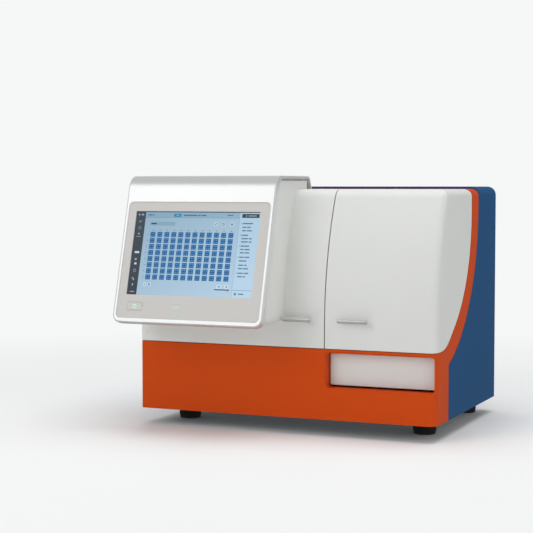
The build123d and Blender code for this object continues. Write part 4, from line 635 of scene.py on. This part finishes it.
class READER_OT_power_symbol(bpy.types.Operator):
    """Add the lit ring and stroke on the power button"""
    bl_idname = "reader.power_symbol"
    bl_label = "Power symbol"

    def execute(self, context):
        low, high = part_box("power_button")
        outward = display_outward()
        points = [vertex.co for vertex in frame["nodes"]["power_button"].data.vertices]
        face = max(points, key=lambda point: point.dot(outward))
        middle = (low + high) / 2
        middle += outward * (face.dot(outward) - middle.dot(outward))
        base = -0.3 * MM
        halo = ring(0, 0, 3.4 * MM, 0.8 * MM, base, 0.4 * MM)
        stroke = slab(0, 2.2 * MM, 0.8 * MM, 3.2 * MM, 0.3 * MM, base, 0.45 * MM)
        symbol = join("power_symbol", [halo, stroke])
        settle(symbol, face_matrix(middle), "power_button",
               light_guide("polycarbonate_power_light", linear("#A9E3B4"), 0.5))
        return {"FINISHED"}


# --- studio ------------------------------------------------------------------------------
def area_light(name, place, size, power):
    """Square soft light aimed at the middle of the object."""
    data = bpy.data.lights.new(name, "AREA")
    data.size = size
    data.energy = power
    lamp = bpy.data.objects.new(name, data)
    bpy.context.scene.collection.objects.link(lamp)
    lamp.location = place
    lamp.rotation_euler = (Vector((0, 0, 0.2)) - Vector(place)).to_track_quat("-Z", "Y").to_euler()
    return lamp


BACKGROUND = "#F6F7F7"
ROOM_LIGHT = 0.44       # brightness of the room as a light on matt surfaces
ROOM_MIRRORED = 0.22    # brightness of the room as glossy surfaces mirror it


def room_strength(tree, rays, resting):
    """Brightness of the room: full to the camera, dimmer in reflections, else a resting level."""
    seen = add_node(tree, "ShaderNodeMath", {"operation": "MAXIMUM"},
                    {0: rays.outputs["Is Camera Ray"], 1: rays.outputs["Is Transmission Ray"]})
    lit = add_node(tree, "ShaderNodeMath",
                   {"operation": "MULTIPLY_ADD", 1: ROOM_MIRRORED - resting, 2: resting},
                   {0: rays.outputs["Is Glossy Ray"]})
    full = add_node(tree, "ShaderNodeMath", {"operation": "MULTIPLY_ADD", 1: 1 - resting},
                    {0: seen.outputs[0], 2: lit.outputs[0]})
    return full.outputs[0]


def studio_world():
    """Pale room: plain white to the camera, softer as a light on the object and in reflections."""
    world = bpy.data.worlds.new("pale_room")
    bpy.context.scene.world = world
    world.use_nodes = True
    tree = world.node_tree
    tree.nodes.clear()
    rays = add_node(tree, "ShaderNodeLightPath")
    room = add_node(tree, "ShaderNodeBackground", {"Color": linear(BACKGROUND)},
                    {"Strength": room_strength(tree, rays, ROOM_LIGHT)})
    add_node(tree, "ShaderNodeOutputWorld", links={"Surface": room.outputs[0]})


def floor_finish():
    """Paper sweep, matt and pale, that fades into the room away from the object."""
    material, tree, shader = new_finish("paper_sweep", linear("#F2F3F3"), 0.9)
    add_mottle(tree, shader, linear("#F2F3F3"), linear("#F0F1F1"), patch_mm=400)
    place = add_node(tree, "ShaderNodeVectorMath", {"operation": "LENGTH"}, {0: place_on(tree)})
    away = add_node(tree, "ShaderNodeMapRange", {1: 0.55, 2: 1.6}, {0: place.outputs["Value"]})
    rays = add_node(tree, "ShaderNodeLightPath")
    seen = add_node(tree, "ShaderNodeMath", {"operation": "MULTIPLY"},
                    {0: away.outputs[0], 1: rays.outputs["Is Camera Ray"]})
    share = add_node(tree, "ShaderNodeMath", {"operation": "MAXIMUM"},
                     {0: seen.outputs[0], 1: rays.outputs["Is Glossy Ray"]})
    plain = add_node(tree, "ShaderNodeEmission", {"Color": linear(BACKGROUND)},
                     {"Strength": room_strength(tree, rays, ROOM_LIGHT)})
    mix = add_node(tree, "ShaderNodeMixShader", links={0: share.outputs[0], 1: shader.outputs[0],
                                                       2: plain.outputs[0]})
    tree.links.new(mix.outputs[0], tree.nodes["Material Output"].inputs["Surface"])
    return material


class READER_OT_studio(bpy.types.Operator):
    """Set up the floor, the soft lights and the camera"""
    bl_idname = "reader.studio"
    bl_label = "Studio"

    def execute(self, context):
        scene = context.scene
        scene.view_settings.view_transform = "Standard"
        radius = scene.reader_sizes.floor_radius
        deselect()
        bpy.ops.mesh.primitive_circle_add(vertices=96, radius=radius, fill_type="NGON", location=(0, 0, 0))
        floor = bpy.context.object
        floor.name = "studio_floor"
        bpy.ops.object.mode_set(mode="EDIT")
        bpy.ops.mesh.select_all(action="SELECT")
        bpy.ops.mesh.inset(thickness=radius * 0.8, depth=0)
        bpy.ops.object.mode_set(mode="OBJECT")
        floor.data.materials.append(floor_finish())

        studio_world()
        area_light("key_light", (-1.6, -3.0, 1.9), 2.0, 32)
        area_light("top_light", (0.3, 0.1, 3.0), 2.4, 55).visible_glossy = False
        area_light("side_light", (2.7, -1.2, 1.1), 2.0, 13)
        area_light("back_light", (-1.8, 3.5, 1.0), 2.5, 20)

        low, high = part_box("base_moulding")
        centre_x = (low.x + high.x) / 2
        data = bpy.data.cameras.new("front_right_camera")
        data.lens = LENS_MM
        data.sensor_width = SENSOR_MM
        camera = bpy.data.objects.new("front_right_camera", data)
        scene.collection.objects.link(camera)
        camera.location = (centre_x + CAMERA_ASIDE, low.y - CAMERA_AHEAD, CAMERA_HEIGHT)
        camera.rotation_euler = (math.radians(90 - CAMERA_DOWN), 0, math.radians(CAMERA_TURN))
        scene.camera = camera
        return {"FINISHED"}


class READER_PT_panel(bpy.types.Panel):
    """Sidebar panel with the reader's settings and steps"""
    bl_label = "Microplate reader"
    bl_idname = "READER_PT_panel"
    bl_space_type = "VIEW_3D"
    bl_region_type = "UI"
    bl_category = "Reader"

    def draw(self, context):
        for group in (context.scene.reader_colours, context.scene.reader_sizes):
            for name in group.__annotations__:
                self.layout.prop(group, name)
        for step in STEPS:
            self.layout.operator(step.bl_idname)


STEPS = (READER_OT_finishes, READER_OT_screen_picture, READER_OT_power_symbol, READER_OT_studio)
CLASSES = (ReaderColours, ReaderSizes, *STEPS, READER_PT_panel)


def register():
    """Register the classes and hang the settings on the scene."""
    for cls in CLASSES:
        bpy.utils.register_class(cls)
    bpy.types.Scene.reader_colours = bpy.props.PointerProperty(type=ReaderColours)
    bpy.types.Scene.reader_sizes = bpy.props.PointerProperty(type=ReaderSizes)


def unregister():
    """Undo register."""
    del bpy.types.Scene.reader_sizes
    del bpy.types.Scene.reader_colours
    for cls in reversed(CLASSES):
        bpy.utils.unregister_class(cls)


def main():
    """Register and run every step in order."""
    register()
    bpy.ops.reader.finishes()
    bpy.ops.reader.screen_picture()
    bpy.ops.reader.power_symbol()
    bpy.ops.reader.studio()


if __name__ == "__main__":
    main()
